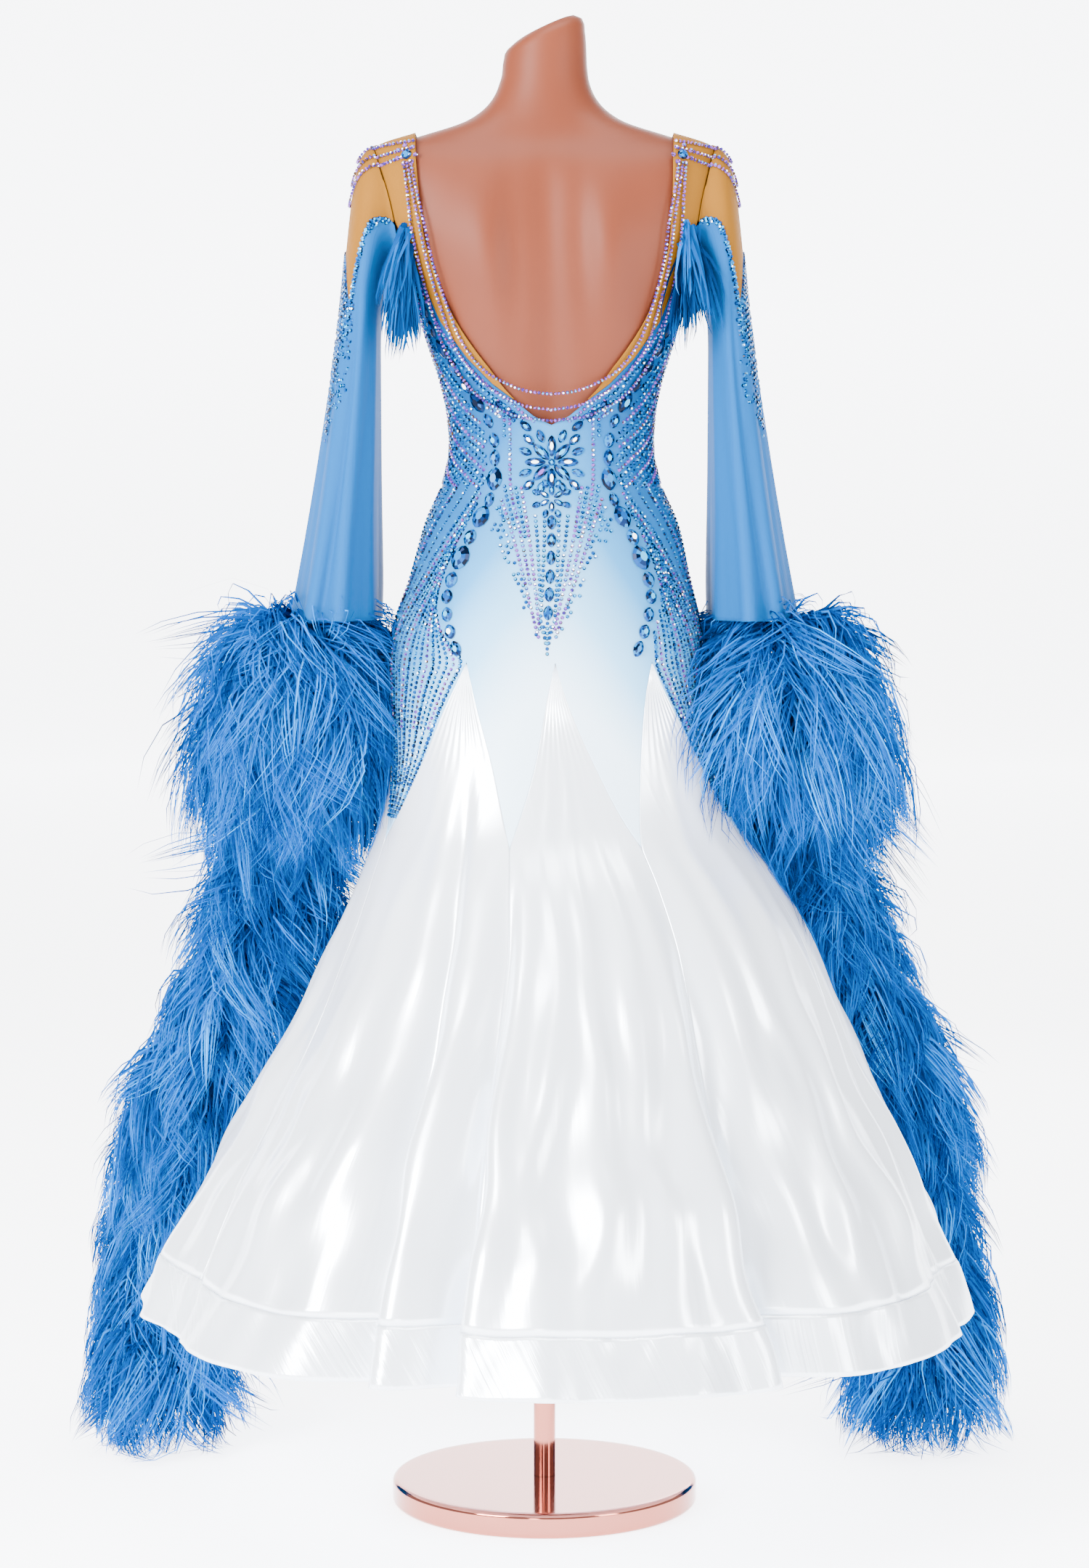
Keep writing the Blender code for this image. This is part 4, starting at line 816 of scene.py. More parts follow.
def sleeve_surface(side):
    """The sleeve's inner face by angle (0 its outer edge, 90 its back) and row (down to the cuff)."""
    def surface(angle, row):
        angle, row = np.broadcast_arrays(np.asarray(angle, float), np.asarray(row, float))
        outer_x, outer_z, inner_x, inner_z, mid_y, half_depth = (
            smooth(SLEEVE, column, row, key="row")
            for column in ("outer_x", "outer_z", "inner_x", "inner_z", "mid_y", "half_depth")
        )
        along, across = np.cos(np.radians(angle)), np.sin(np.radians(angle))
        share = np.clip(row / SLEEVE_END, 0, 1)
        wave = 1 + SLEEVE_WAVE * share**2 * np.cos(np.radians(SLEEVE_WAVES * angle)) * across**2
        free = np.stack([
            side * ((outer_x + inner_x) / 2 + (outer_x - inner_x) / 2 * along * wave),
            mid_y - half_depth * across * wave,
            (outer_z + inner_z) / 2 + (outer_z - inner_z) / 2 * along,
        ], axis=-1)
        edge_x, edge_z = arm_edge(angle)
        edge = on_gown(side * turn_at(edge_x, edge_z, across < 0), edge_z, CLOTH + GAP)
        hold = np.clip(1 - row / SLEEVE_HOLD, 0, 1)[..., None] ** 2
        return hold * edge + (1 - hold) * free
    return surface


def cap_edge(angle):
    """The row of the cap's pointed lower edge at an angle."""
    return np.interp(np.abs(angle), CAP_EDGE["angle"], CAP_EDGE["row"])


def on_sleeve(side, angle, row, distance=0.0):
    """A place on the sleeve, this far out from the cloth's inner face."""
    angle, row = np.broadcast_arrays(np.asarray(angle, float), np.asarray(row, float))
    return lifted(sleeve_surface(side), angle, row, distance, 0.2, 0.01, sign=side)


SLEEVE_CREASES = table("angle width depth start sway", [
    (18, 7, 0.0030, 4.0, 5.0), (41, 6, -0.0026, 3.0, -6.0), (58, 7, 0.0032, 4.6, 4.0),
    (79, 6, -0.0030, 2.4, 6.0), (97, 8, 0.0028, 3.2, -5.0), (118, 7, -0.0024, 4.4, 5.0),
    (141, 8, 0.0026, 3.0, -4.0), (164, 7, -0.002, 5.0, 3.0), (-24, 7, 0.0030, 4.2, -5.0),
    (-47, 6, -0.0026, 3.0, 6.0), (-70, 7, 0.0030, 4.0, -5.0), (-93, 7, -0.0028, 2.6, 4.0),
    (-115, 8, 0.0026, 3.4, 5.0), (-138, 7, -0.0024, 4.4, -5.0), (-160, 7, 0.002, 5.0, 3.0),
])


def sleeve_creases(angle, row):
    """Long soft folds: bells across lines that sway once on their way down and deepen towards the cuff."""
    lift = np.zeros(np.broadcast(angle, row).shape)
    for mid, width, depth, start, sway in zip(*SLEEVE_CREASES.values()):
        line = mid + sway * np.sin(row * 0.7 + mid)
        away = (angle - line + 180) % 360 - 180
        lift += depth * np.exp(-((away / width) ** 2)) * fade(start, start + 4.5, row)
    return lift

# %% [markdown]
# Sleeve and cap share one surface: the cap ends at its pointed edge and the sleeve starts just below it, so
# the seam needs no fitting. The sleeve's creases fade in from about there.

# %% Sleeve and cap pieces
sleeve_half = stops_between(np.array([0, 62, 85, 111, 180], float), 3.7)
sleeve_turns = np.concatenate([sleeve_half, -sleeve_half[1:-1][::-1]])
for word, side in SIDES.items():
    start = np.where(np.abs(sleeve_turns) <= ARM_CORNER_ANGLE, cap_edge(sleeve_turns) + 0.03, 0.0)
    down = start + np.linspace(0, 1, 80)[:, None] * (SLEEVE_END - start)
    angles = np.broadcast_to(sleeve_turns, down.shape)
    points = on_sleeve(side, angles, down, CLOTH + sleeve_creases(angles, down))
    axis = points.mean(axis=1, keepdims=True)
    piece = add_sheet(f"sleeve_cloth_{word}", points, sleeve_satin, axis, closed=True, wall=THIN_CLOTH)
    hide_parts(f"sleeve_{word}")
    cut_of(piece)

    cap_turns = sleeve_half[sleeve_half <= ARM_CORNER_ANGLE]
    cap_turns = np.concatenate([-cap_turns[1:][::-1], cap_turns])
    down = np.linspace(0, 1, 26)[:, None] * cap_edge(cap_turns)
    angles = np.broadcast_to(cap_turns, down.shape)
    points = on_sleeve(side, angles, down, CLOTH)
    piece = add_sheet(f"net_cap_{word}", points, nude_mesh, axis.mean(axis=0), wall=THIN_CLOTH)
    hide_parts(f"sleeve_cap_{word}")
    cut_of(piece)

# %% [markdown]
# ## The skirt
# Eight godets, each a wide triangle whose point is let into the bodice's lower edge. A place on a godet is
# its share across (0 and 1 are the seams) and its height, so a fold that keeps its share runs from the
# point to the hem by itself. On top of the deep folds lie soft ones, listed one by one: each is a bell across
# a line that sways on its way down. Small pleats fan out from the point, where the cloth is eased in. A cloth
# simulation could drape the skirt, but folds by formula stay where they are put and are the same each run.

# %% Soft folds
def godet_edge(at, height):
    """The turn of the seam on a godet's far side, a straight way from the tongue's tip to the hem."""
    tip_height, tip, hem = (GODETS[key][at] for key in ("tip_height", "tip_turn", "hem_turn"))
    return tip + fold_progress(tip_height, height) * (hem - tip)


def godet_sides(at, height):
    """Both edges of a godet at a height: from its point along the tongues, then along the seams."""
    before = (at - 1) % len(GODETS["apex_turn"])
    apex = GODETS["apex_turn"][at]
    sides = []
    for seam in (before, at):
        lower = apex + (godet_edge(seam, height) - apex + 180) % 360 - 180
        share = np.clip((APEX_HEIGHT - height) / (APEX_HEIGHT - GODETS["tip_height"][seam]), 0, 1)
        sides.append(apex + share * (lower - apex))
    return sides


# Each godet's folds: share across, half width, lift in metres, sway, its phase, and where it starts.
SOFT_FOLDS = (
    ((.14, .05, .005, .02, 0.4, .86), (.27, .04, -.0042, .026, 1.7, .8), (.41, .055, .0056, .03, 2.6, .92),
     (.56, .04, -.0046, .024, 3.9, .84), (.68, .045, .005, .028, 5.2, .88),
     (.83, .04, -.004, .018, 0.9, .74)),
    ((.1, .03, .004, .012, 1.1, .74), (.36, .04, .0056, .03, 0.2, .9), (.47, .035, -.005, .028, 2.2, .84),
     (.6, .045, .0062, .034, 4.0, .93), (.72, .03, -.0044, .022, 5.6, .8),
     (.86, .04, .005, .018, 2.9, .82)),
    ((.11, .034, .0054, .018, 0.3, .82), (.2, .026, -.0044, .022, 1.6, .86),
     (.29, .032, .0054, .026, 2.9, .92), (.38, .028, -.0048, .02, 4.2, .84),
     (.47, .034, .0062, .026, 5.4, .94), (.56, .026, -.0046, .024, 0.8, .88),
     (.65, .034, .0056, .022, 2.1, .9), (.75, .028, -.0048, .024, 3.5, .82),
     (.84, .034, .005, .018, 4.7, .86), (.93, .022, -.0034, .01, 5.9, .72)),
    ((.12, .036, .005, .018, 2.3, .82), (.24, .032, -.0046, .026, 3.6, .86),
     (.36, .04, .006, .03, 5.0, .93), (.49, .034, -.005, .028, 0.6, .84), (.61, .042, .0056, .03, 1.9, .9),
     (.74, .034, -.0046, .024, 3.3, .8), (.87, .036, .0046, .014, 4.4, .84)),
    ((.13, .044, .0048, .02, 0.9, .84), (.27, .04, -.0044, .026, 2.4, .8),
     (.58, .046, .0052, .026, 3.8, .9), (.72, .038, -.0044, .022, 5.1, .82),
     (.86, .04, .0046, .016, 0.2, .86)),
    ((.13, .04, .005, .018, 1.4, .84), (.27, .036, -.0046, .024, 2.7, .82),
     (.42, .046, .0058, .03, 4.1, .92), (.57, .038, -.0048, .026, 5.5, .86),
     (.71, .042, .0052, .026, 0.5, .88), (.86, .038, -.004, .014, 1.8, .76)),
    ((.14, .042, .005, .018, 3.1, .86), (.29, .036, -.0044, .022, 4.5, .8),
     (.64, .044, .0056, .026, 5.8, .92), (.77, .036, -.0046, .022, 1.0, .82),
     (.88, .036, .0044, .014, 2.4, .84)),
    ((.12, .04, .0048, .018, 3.7, .82), (.26, .036, -.0044, .024, 5.0, .84),
     (.4, .044, .0056, .028, 0.1, .92), (.55, .038, -.0048, .026, 1.5, .84),
     (.7, .044, .0054, .026, 2.8, .9), (.86, .038, -.004, .014, 4.2, .78)),
)
FOLD_SPREAD, FOLD_RISE, TROUGH_DROP = 1.70, 1.15, 0.55
PLEATS, PLEAT_LIFT, PLEAT_REACH = 9, 0.0003, 0.16


def drape(at, share, height):
    """A godet's lift: its soft folds (bells across swaying lines), slow dents and the pleats at its point."""
    lift = np.zeros(np.broadcast(share, height).shape)
    for mid, width, rise, sway, phase, start in SOFT_FOLDS[at]:
        bent = sway * (1.8 - 0.8 * fade(0.30, 0.66, height))
        line = mid + bent * (np.sin(height * 17 + phase) + 0.4 * np.sin(height * 41 + 2 * phase))
        ridge = np.exp(-(((share - line) / (FOLD_SPREAD * width)) ** 2))
        rise = FOLD_RISE * rise if rise > 0 else TROUGH_DROP * rise
        lift += rise * ridge * (1 - fade(start - 0.42, start, height))
    wide = np.sin(height * 23 + share * 7 + 2.3 * at) * np.sin(share * 12 - height * 9 + at)
    narrow = np.sin(height * 47 - share * 15 + at) * np.sin(share * 21 + height * 13 + 1.7 * at)
    lift += (0.0058 * wide + 0.0022 * narrow) * (1 - fade(0.42, 0.76, height))
    near_point = fade(APEX_HEIGHT - PLEAT_REACH, APEX_HEIGHT - 0.02, height)
    lift += PLEAT_LIFT * near_point * np.cos(2 * np.pi * PLEATS * share)
    return lift * fade(0, 0.06, share) * (1 - fade(0.94, 1, share))


def godet_points(at, shares, heights, thickness):
    """Points of a godet's outer face at these shares and heights."""
    left, right = godet_sides(at, heights)
    return on_gown(left + shares * (right - left), heights, thickness + drape(at, shares, heights))


def godet_shares(at, step):
    """Even shares across a godet, with about this many degrees between two of them at the hem."""
    left, right = godet_sides(at, np.array(HEM_HEIGHT))
    return np.linspace(0, 1, int((right - left) / step) + 1)


# %% [markdown]
# Each godet is one grid. Its rows lie closer together towards the point, where the pleats are, and its
# columns are finest at the back, which shows most.

# %% Godets
GODET_STEPS = (0.56, 0.50, 0.46, 0.50, 0.66, 0.78, 0.78, 0.78)  # degrees between columns at the hem
godet_heights = np.concatenate([
    np.linspace(HEM_BAND_TOP + GAP, 0.78, 52), np.linspace(0.79, APEX_HEIGHT - 0.002, 22),
])[:, None]
for at, word in enumerate(GODET_NAMES):
    shares, heights = np.broadcast_arrays(godet_shares(at, GODET_STEPS[at])[None], godet_heights)
    points = godet_points(at, shares, heights, CLOTH)
    piece = add_sheet(f"godet_cloth_{word}", points, satin, (0, 0, 0.6))
    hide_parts(f"godet_{word}")
    cut_of(piece)

# %% [markdown]
# The hem is a doubled band, stitched on along a line that pulls the cloth into small waves. It is one ring.

# %% Hem band
BAND_WAVES, BAND_WAVE = 11, 0.0006


def band_points():
    """The band's outer face: the godets' columns at its rows; waves grow towards the stitching."""
    heights = np.linspace(HEM_HEIGHT, HEM_BAND_TOP, 15)[:, None]
    parts = []
    for at in range(len(GODET_NAMES)):
        shares = godet_shares(at, GODET_STEPS[at])[None, :-1]
        shares, rows = np.broadcast_arrays(shares, heights)
        stitch = fade(0.262, 0.290, rows) * (1 - fade(0.291, HEM_BAND_TOP, rows))
        uneven = 1 + 0.13 * np.sin(7 * shares + at)
        waves = BAND_WAVE * stitch * np.sin(2 * np.pi * BAND_WAVES * shares * uneven)
        parts.append(godet_points(at, shares, rows, HEM_CLOTH + waves))
    return np.concatenate(parts, axis=1)


band = add_sheet("hem_ring", band_points(), hem_satin, (0, 0, 0.26), closed=True, wall=HEM_CLOTH)
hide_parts("hem_band")
cut_of(band)

# %% [markdown]
# ## Feathers
# A boa is made of many small quills round a cord. A quill is a clump of strands with one root and nearly one
# direction. Each strand is a thin ribbon on a cubic Bezier curve: it starts outwards and then droops, and it
# gets narrower to its tip. All strands of a boa are one mesh. An attribute gives each its own tone: barbs in
# one clump take the dye alike while clumps differ, and on the cuffs and floats a quill rooted deeper in the
# boa gets a darker tone, which is painted shade inside the feathers.

# %% Strands
feathers, feather_shader = plain_finish("feathers", (0.000, 0.080, 0.280), 0.6)
feather_shader.inputs["Specular IOR Level"].default_value = 0.0
# From dark to light; the dark end also serves as painted shade for quills set deep in a boa.
FEATHER_TONES_AND_SHADE = ((0.0, (0.000, 0.015, 0.095)), (0.35, (0.000, 0.044, 0.215)), (0.65, (0.000, 0.086, 0.360)),
                 (0.88, (0.000, 0.145, 0.520)), (1.0, (0.006, 0.230, 0.660)))
colour_ramp(feathers, attribute(feathers, "tone"), feather_shader.inputs["Base Color"], FEATHER_TONES_AND_SHADE)
STATIONS = np.array([0.0, 0.32, 0.60, 0.82, 1.0])
STATION_WIDTHS = np.array([2.6, 1.5, 0.9, 0.6])
DOWN = np.array([0.0, 0.0, -1.0])
LOWEST_FEATHER, FLOOR_SOFTNESS = 0.010, 0.008
FARTHEST_FEATHER, SIDE_SOFTNESS = 0.582, 0.016
random = np.random.default_rng(11)


def unit(vectors):
    """Vectors divided by their lengths."""
    return vectors / np.maximum(np.linalg.norm(vectors, axis=-1, keepdims=True), 1e-9)


def clear_of_gown(points, margin):
    """Moves points that lie inside the skirt or the bodice out from the axis to the cloth plus a margin."""
    middle = smooth(GOWN, "swing", points[..., 2])
    x, y = points[..., 0] - middle, points[..., 1]
    height = np.maximum(points[..., 2], HEM_HEIGHT)
    edge_x, edge_y = superellipse(
        np.degrees(np.arctan2(x, -y)), smooth(GOWN, "half_width", height), smooth(GOWN, "back", height),
        smooth(GOWN, "front", height), smooth(GOWN, "power", height))
    need = (np.hypot(edge_x, edge_y) + margin) / np.maximum(np.hypot(x, y), 1e-6)
    need = np.where(points[..., 2] > HEM_HEIGHT - 0.01, np.maximum(need, 1), 1)
    return np.stack([middle + x * need, y * need, points[..., 2]], axis=-1)


def above_floor(height):
    """Heights bent softly so that none falls below the lowest feather."""
    return LOWEST_FEATHER + FLOOR_SOFTNESS * np.logaddexp(0, (height - LOWEST_FEATHER) / FLOOR_SOFTNESS)


def within_reach(x):
    """Sideways places bent softly so that none lies beyond the farthest feather."""
    room = FARTHEST_FEATHER - np.abs(x)
    return np.sign(x) * (FARTHEST_FEATHER - SIDE_SOFTNESS * np.logaddexp(0, room / SIDE_SOFTNESS))

# %% [markdown]
# Hair curves could make the strands too. Ribbons of four steps each are plain mesh, so any program that opens
# the piece can show them, and their number is known beforehand.

# %% Plumes
def plumes(name, quills, strands, finish, spread=0.26, gather=0.70, curl=0.42, width=0.0018, margin=0.004):
    """Clumps of strands as ribbons along Bezier curves.

    A quill is a root, a way, a length, a droop and a tone; a boa's deep-set quills get a darker tone as
    painted shade. Its strands start near the root along nearly the same way, bend down by the droop and
    sideways by the quill's own curl; their tips are drawn together.
    """
    roots, ways, lengths, droops, tones = quills
    size = (len(roots), strands)
    way = unit(ways[:, None] + spread * random.normal(size=(*size, 3)))
    length = (lengths[:, None] * random.uniform(0.60, 1.15, size))[..., None]
    fall = (droops[:, None] * random.uniform(0.75, 1.25, size))[..., None]
    bend = np.cross(ways, DOWN)[:, None] * curl * random.normal(size=(len(roots), 1, 1))
    start = roots[:, None] + 0.0022 * random.normal(size=(*size, 3))
    leave = start + length * 0.40 * way
    turn = start + length * ((0.80 - 0.25 * fall) * way + 0.38 * fall * DOWN + 0.3 * bend)
    tip = start + length * ((0.98 - 0.42 * fall) * way + 0.88 * fall * DOWN + bend)
    tip += gather * (tip.mean(axis=1, keepdims=True) - tip)
    start, leave, turn, tip = (place.reshape(-1, 1, 3) for place in (start, leave, turn, tip))
    t = STATIONS[:, None]
    path = start * (1 - t)**3 + leave * 3 * t * (1 - t)**2 + turn * 3 * t**2 * (1 - t) + tip * t**3
    path = clear_of_gown(path, margin)
    path[..., 0] = within_reach(path[..., 0])
    path[..., 2] = above_floor(path[..., 2])
    tangent = unit(np.gradient(path, axis=1))
    side = unit(np.cross(tangent, random.normal(size=(len(path), 1, 3)) + (0, -1.2, 0)))
    half = side[:, :-1] * (width / 2 * STATION_WIDTHS)[:, None]
    points = np.concatenate([path[:, :-1] - half, path[:, :-1] + half, path[:, -1:]], axis=1)
    strand_points = 2 * len(STATION_WIDTHS) + 1
    first = np.arange(len(path))[:, None] * strand_points
    quads = np.concatenate([first + (0, 4, 5, 1), first + (1, 5, 6, 2), first + (2, 6, 7, 3)])
    # A strand takes its quill's tone with a little spread; on the boas that tone carries painted shade.
    tone = tones[:, None] + 0.13 * random.normal(size=size)
    shade = np.repeat(np.clip(tone.ravel(), 0, 1), strand_points)
    return add_piece(name, points.reshape(-1, 3), [quads, first + (3, 7, 8)], finish, tone=shade)


# %% [markdown]
# ## Cuffs and floats
# Each sleeve ends in a deep cuff of boa, three rounds of it, and from the cuff a second boa hangs beside the
# skirt nearly to the floor. The rounds are read from tables of ovals, like the rest of the gown.

# %% Boas
CUFF = table("height x y half_width half_depth", [
    (0.785, 0.3120, 0.098, 0.062, 0.080),
    (0.880, 0.2950, 0.062, 0.081, 0.110),
    (0.985, 0.2760, 0.034, 0.083, 0.128),
])
FLOAT_PATH = table("height x y radius", [
    (0.100, 0.4680, 0.240, 0.034), (0.160, 0.4820, 0.292, 0.050), (0.240, 0.4720, 0.345, 0.050),
    (0.330, 0.4560, 0.310, 0.050), (0.430, 0.4420, 0.248, 0.050), (0.530, 0.4080, 0.186, 0.050),
    (0.630, 0.3560, 0.148, 0.049), (0.722, 0.3180, 0.118, 0.036), (0.748, 0.3120, 0.112, 0.012),
    (0.800, 0.3040, 0.088, 0.005), (0.920, 0.2920, 0.048, 0.005), (1.036, 0.2858, 0.030, 0.005),
    (1.052, 0.2828, 0.030, 0.005),
])
CUFF_QUILLS, FLOAT_QUILLS, QUILL_STRANDS = 660, 1000, 17


def on_oval(side, x, y, half_width, half_depth, height, lift):
    """Roots on an oval ring at random turns, with their ways out from it, raised by the lift."""
    angle = random.uniform(0, 2 * np.pi, len(height))
    along, across = side * np.cos(angle), -np.sin(angle)
    roots = np.stack([side * x + half_width * along, y + half_depth * across, height], axis=-1)
    return roots, unit(np.stack([along, across, lift], axis=-1))


def cuff_quills(side):
    """Quills on the cuff's rounds: the top ones stand up and out, the lower ones droop."""
    share = random.uniform(0, 1, CUFF_QUILLS)
    height = 0.775 + 0.264 * share
    x, y, half_width, half_depth = (
        smooth(CUFF, key, height) for key in ("x", "y", "half_width", "half_depth")
    )
    crown, foot = fade(0.965, 1.040, height), 1 - fade(0.780, 0.930, height)
    lift = 0.05 + crown * random.uniform(0.05, 0.95, CUFF_QUILLS)
    deep = random.uniform(0.36, 0.72, CUFF_QUILLS) * (1 - 0.30 * foot - 0.20 * crown)
    roots, ways = on_oval(side, x, y, deep * half_width, deep * half_depth, height, lift)
    ways[:, 2] -= 0.55 * crown * np.clip(side * ways[:, 0], 0, 1)
    lengths = random.uniform(0.095, 0.158, CUFF_QUILLS) * (1 - 0.50 * foot)
    lengths *= 1 + 0.24 * (1 - foot) * (1 - crown)
    droops = random.uniform(0.70, 1.15, CUFF_QUILLS) + 0.55 * foot
    droops += crown * (random.uniform(0.30, 1.10, CUFF_QUILLS) - droops)
    # The tone rises with deep: quills rooted further into the cuff are painted darker, as shade.
    return roots, unit(ways), lengths, droops, 0.05 + 0.85 * deep + 0.18 * random.normal(size=CUFF_QUILLS)


def float_quills(side):
    """Quills along the hanging boa's cord; its first round stands out, its end leans in and to the back."""
    height = random.uniform(0.085, 0.770, FLOAT_QUILLS)
    x, y, radius = (smooth(FLOAT_PATH, key, height) for key in ("x", "y", "radius"))
    crown = fade(0.600, 0.710, height)
    lift = 0.04 + crown * random.uniform(0.0, 0.6, FLOAT_QUILLS)
    deep = random.uniform(0.1, 0.8, FLOAT_QUILLS)
    radius = deep * np.maximum(radius, 0.030)
    roots, ways = on_oval(side, x, y, radius, radius, height, lift)
    ways += (1 - fade(0.12, 0.34, height))[:, None] * (-0.35 * side, -0.70, 0)
    lengths = random.uniform(0.100, 0.160, FLOAT_QUILLS) * (1 - 0.16 * fade(0.24, 0.34, height) * (1 - crown))
    droops = random.uniform(0.70, 1.20, FLOAT_QUILLS)
    droops += crown * (random.uniform(0.40, 1.05, FLOAT_QUILLS) - droops)
    # The tone rises with deep: quills rooted further into the boa are painted darker, as shade.
    return roots, unit(ways), lengths, droops, 0.27 + 0.50 * deep + 0.18 * random.normal(size=FLOAT_QUILLS)


for word, side in SIDES.items():
    cuff = plumes(f"boa_cuff_{word}", cuff_quills(side), QUILL_STRANDS, feathers)
    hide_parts(f"feather_cuff_{word}")
    boa = plumes(f"boa_float_{word}", float_quills(side), QUILL_STRANDS, feathers)
    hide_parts(f"feather_float_{word}")
    print(cuff.name, len(cuff.data.polygons), boa.name, len(boa.data.polygons), "faces")

# %% [markdown]
# ## Cut stones
# A cut stone is a ring of slanted facets round a flat table. Each face draws its own number and a stepped
# ramp turns that into a colour: navy and azure for blue glass, ice and violet for the coated stones that
# change with the light, and white as a painted glint, a reflection of the lamps painted onto the tables. All
# stones of a region are one mesh.

# %% The stone maker
stone_glass, glass_shader = plain_finish("stones", (0.0, 0.1, 0.3), 0.14)
# The white step at 0.62 is a painted glint, not a colour of the glass.
FACET_COLOURS_AND_GLINTS = (
    (0.00, (0.000, 0.002, 0.010)), (0.10, (0.000, 0.010, 0.050)), (0.22, (0.000, 0.040, 0.170)),
    (0.36, (0.001, 0.110, 0.300)), (0.50, (0.015, 0.260, 0.480)), (0.62, (0.900, 0.970, 1.000)),
    (0.70, (0.150, 0.050, 0.300)), (0.82, (0.025, 0.010, 0.140)), (0.92, (0.050, 0.022, 0.008)),
)
glass_shader.inputs["Specular IOR Level"].default_value = 0.08
colour_ramp(stone_glass, attribute(stone_glass, "facet"), glass_shader.inputs["Base Color"], FACET_COLOURS_AND_GLINTS,
            constant=True)
# Each kind of stone: the range for its slanted facets and the range for its table. Only the tables' ranges
# reach the white step, so the painted glint sits in the middle of each stone.
BLUE_GLASS, DARK_GLASS = ((0.00, 0.46), (0.24, 0.65)), ((0.00, 0.26), (0.04, 0.66))
COATED, CLEAR = ((0.70, 1.00), (0.52, 0.86)), ((0.00, 0.40), (0.58, 0.71))


class StoneTray:
    """Collects stones and sets them as one mesh."""

    def __init__(self):
        self.points, self.sides, self.tables, self.facets = [], [], [], []
        self.count = 0

    def add(self, place, lengths, widths, colours, sides=6, pointed=0.0, rise=0.42, table_share=0.55):
        """Stones at a place (centres, normals, ways): an oval girdle and a smaller table above it.

        A pointed stone's girdle is the oval with its width times the sine's own size to that power.
        """
        centres, normals, ways = place
        number = len(centres)
        if not number:
            return
        sizes = (np.broadcast_to(np.asarray(size, float), number) for size in (lengths, widths))
        lengths, widths = (size[:, None, None] for size in sizes)
        ways = unit(ways - normals * (ways * normals).sum(axis=-1, keepdims=True))
        across = np.cross(normals, ways)
        angle = 2 * np.pi * np.arange(sides) / sides
        out, side = np.cos(angle)[:, None], (np.sin(angle) * np.abs(np.sin(angle)) ** pointed)[:, None]
        ring = ways[:, None] * out * lengths / 2 + across[:, None] * side * widths / 2
        girdle = centres[:, None] + ring
        top = centres[:, None] + ring * table_share + normals[:, None] * rise * widths
        start = self.count + np.arange(number)[:, None, None] * 2 * sides
        k = np.arange(sides)
        after = (k + 1) % sides
        walls = np.stack([k, after, sides + after, sides + k], axis=-1)
        self.points.append(np.concatenate([girdle, top], axis=1).reshape(-1, 3))
        self.sides.append((start + walls).reshape(-1, 4))
        self.tables.append(start[:, 0] + sides + k)
        # The table draws from the second range, where the painted glint lies.
        slanted, flat = colours
        self.facets.append((random.uniform(*slanted, number * sides), random.uniform(*flat, number)))
        self.count += number * 2 * sides

    def set(self, name, node=None):
        """Makes the mesh; it replaces a solid if one is named."""
        facets = np.concatenate([part[0] for part in self.facets] + [part[1] for part in self.facets])
        faces = [np.concatenate(self.sides), *self.tables]
        points = np.concatenate(self.points)
        piece = add_piece(name, points, faces, stone_glass, smooth_shaded=False, facet=facets)
        if node:
            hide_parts(node)
        print(f"{name}: {len(facets)} facets")

# %% [markdown]
# A string of stones is a line on the cloth with a stone at each equal step. A modifier could set copies along
# a curve. Here the steps are measured on the cloth itself, so the stones keep their distance where it bends,
# and each can have its own size, way and colour.

# %% Strings of stones
def curve(*points, steps=120):
    """A smooth line through these points, as one array for each coordinate."""
    rows = table("u v", points)
    rows["row"] = np.arange(len(points), dtype=float)
    at = np.linspace(0, len(points) - 1, steps)
    return smooth(rows, "u", at, key="row"), smooth(rows, "v", at, key="row")


def strung(surface, u, v, pitch, lift=CLOTH, jitter=0.0):
    """Equal steps along a line on a surface: centres, normals and the line's way there."""
    line = surface(u, v, lift)
    length = np.append(0, np.cumsum(np.linalg.norm(np.diff(line, axis=0), axis=1)))
    at = np.linspace(0, length[-1], max(int(length[-1] / pitch), 1) + 1)
    at = at + jitter * pitch * random.normal(size=len(at))
    u, v = np.interp(at, length, u), np.interp(at, length, v)
    centres = surface(u, v, lift)
    normals = unit(surface(u, v, lift + 0.004) - centres)
    ways = np.gradient(centres, axis=0) if len(at) > 1 else np.tile([[0.0, 0.0, 1.0]], (len(at), 1))
    return centres, normals, ways


def chosen(place, keep):
    """The stones' centres, normals and ways where keep holds."""
    return tuple(part[keep] for part in place)

# %% [markdown]
# ## Where the stones sit
# Rows of stones keep their distance on the cloth, not in the picture. So the body is unrolled once: for each
# height a table gives the way round from the middle of the back. Rows are then drawn in that flat plane,
# parallel to the neckline above the waist, and fan out over the hips into the tongues below it.

# %% The unrolled body
GIRTH_HEIGHTS = np.linspace(0.80, 1.57, 78)
GIRTH_TURNS = np.linspace(0, 180, 361)
GIRTH_STEPS = np.linspace(0, 0.60, 241)
ring_steps = np.linalg.norm(np.diff(gown(GIRTH_TURNS[None], GIRTH_HEIGHTS[:, None]), axis=1), axis=-1)
GIRTHS = np.concatenate([np.zeros((len(GIRTH_HEIGHTS), 1)), np.cumsum(ring_steps, axis=1)], axis=1)
TURN_ROWS = np.array([np.interp(GIRTH_STEPS, row, GIRTH_TURNS) for row in GIRTHS])


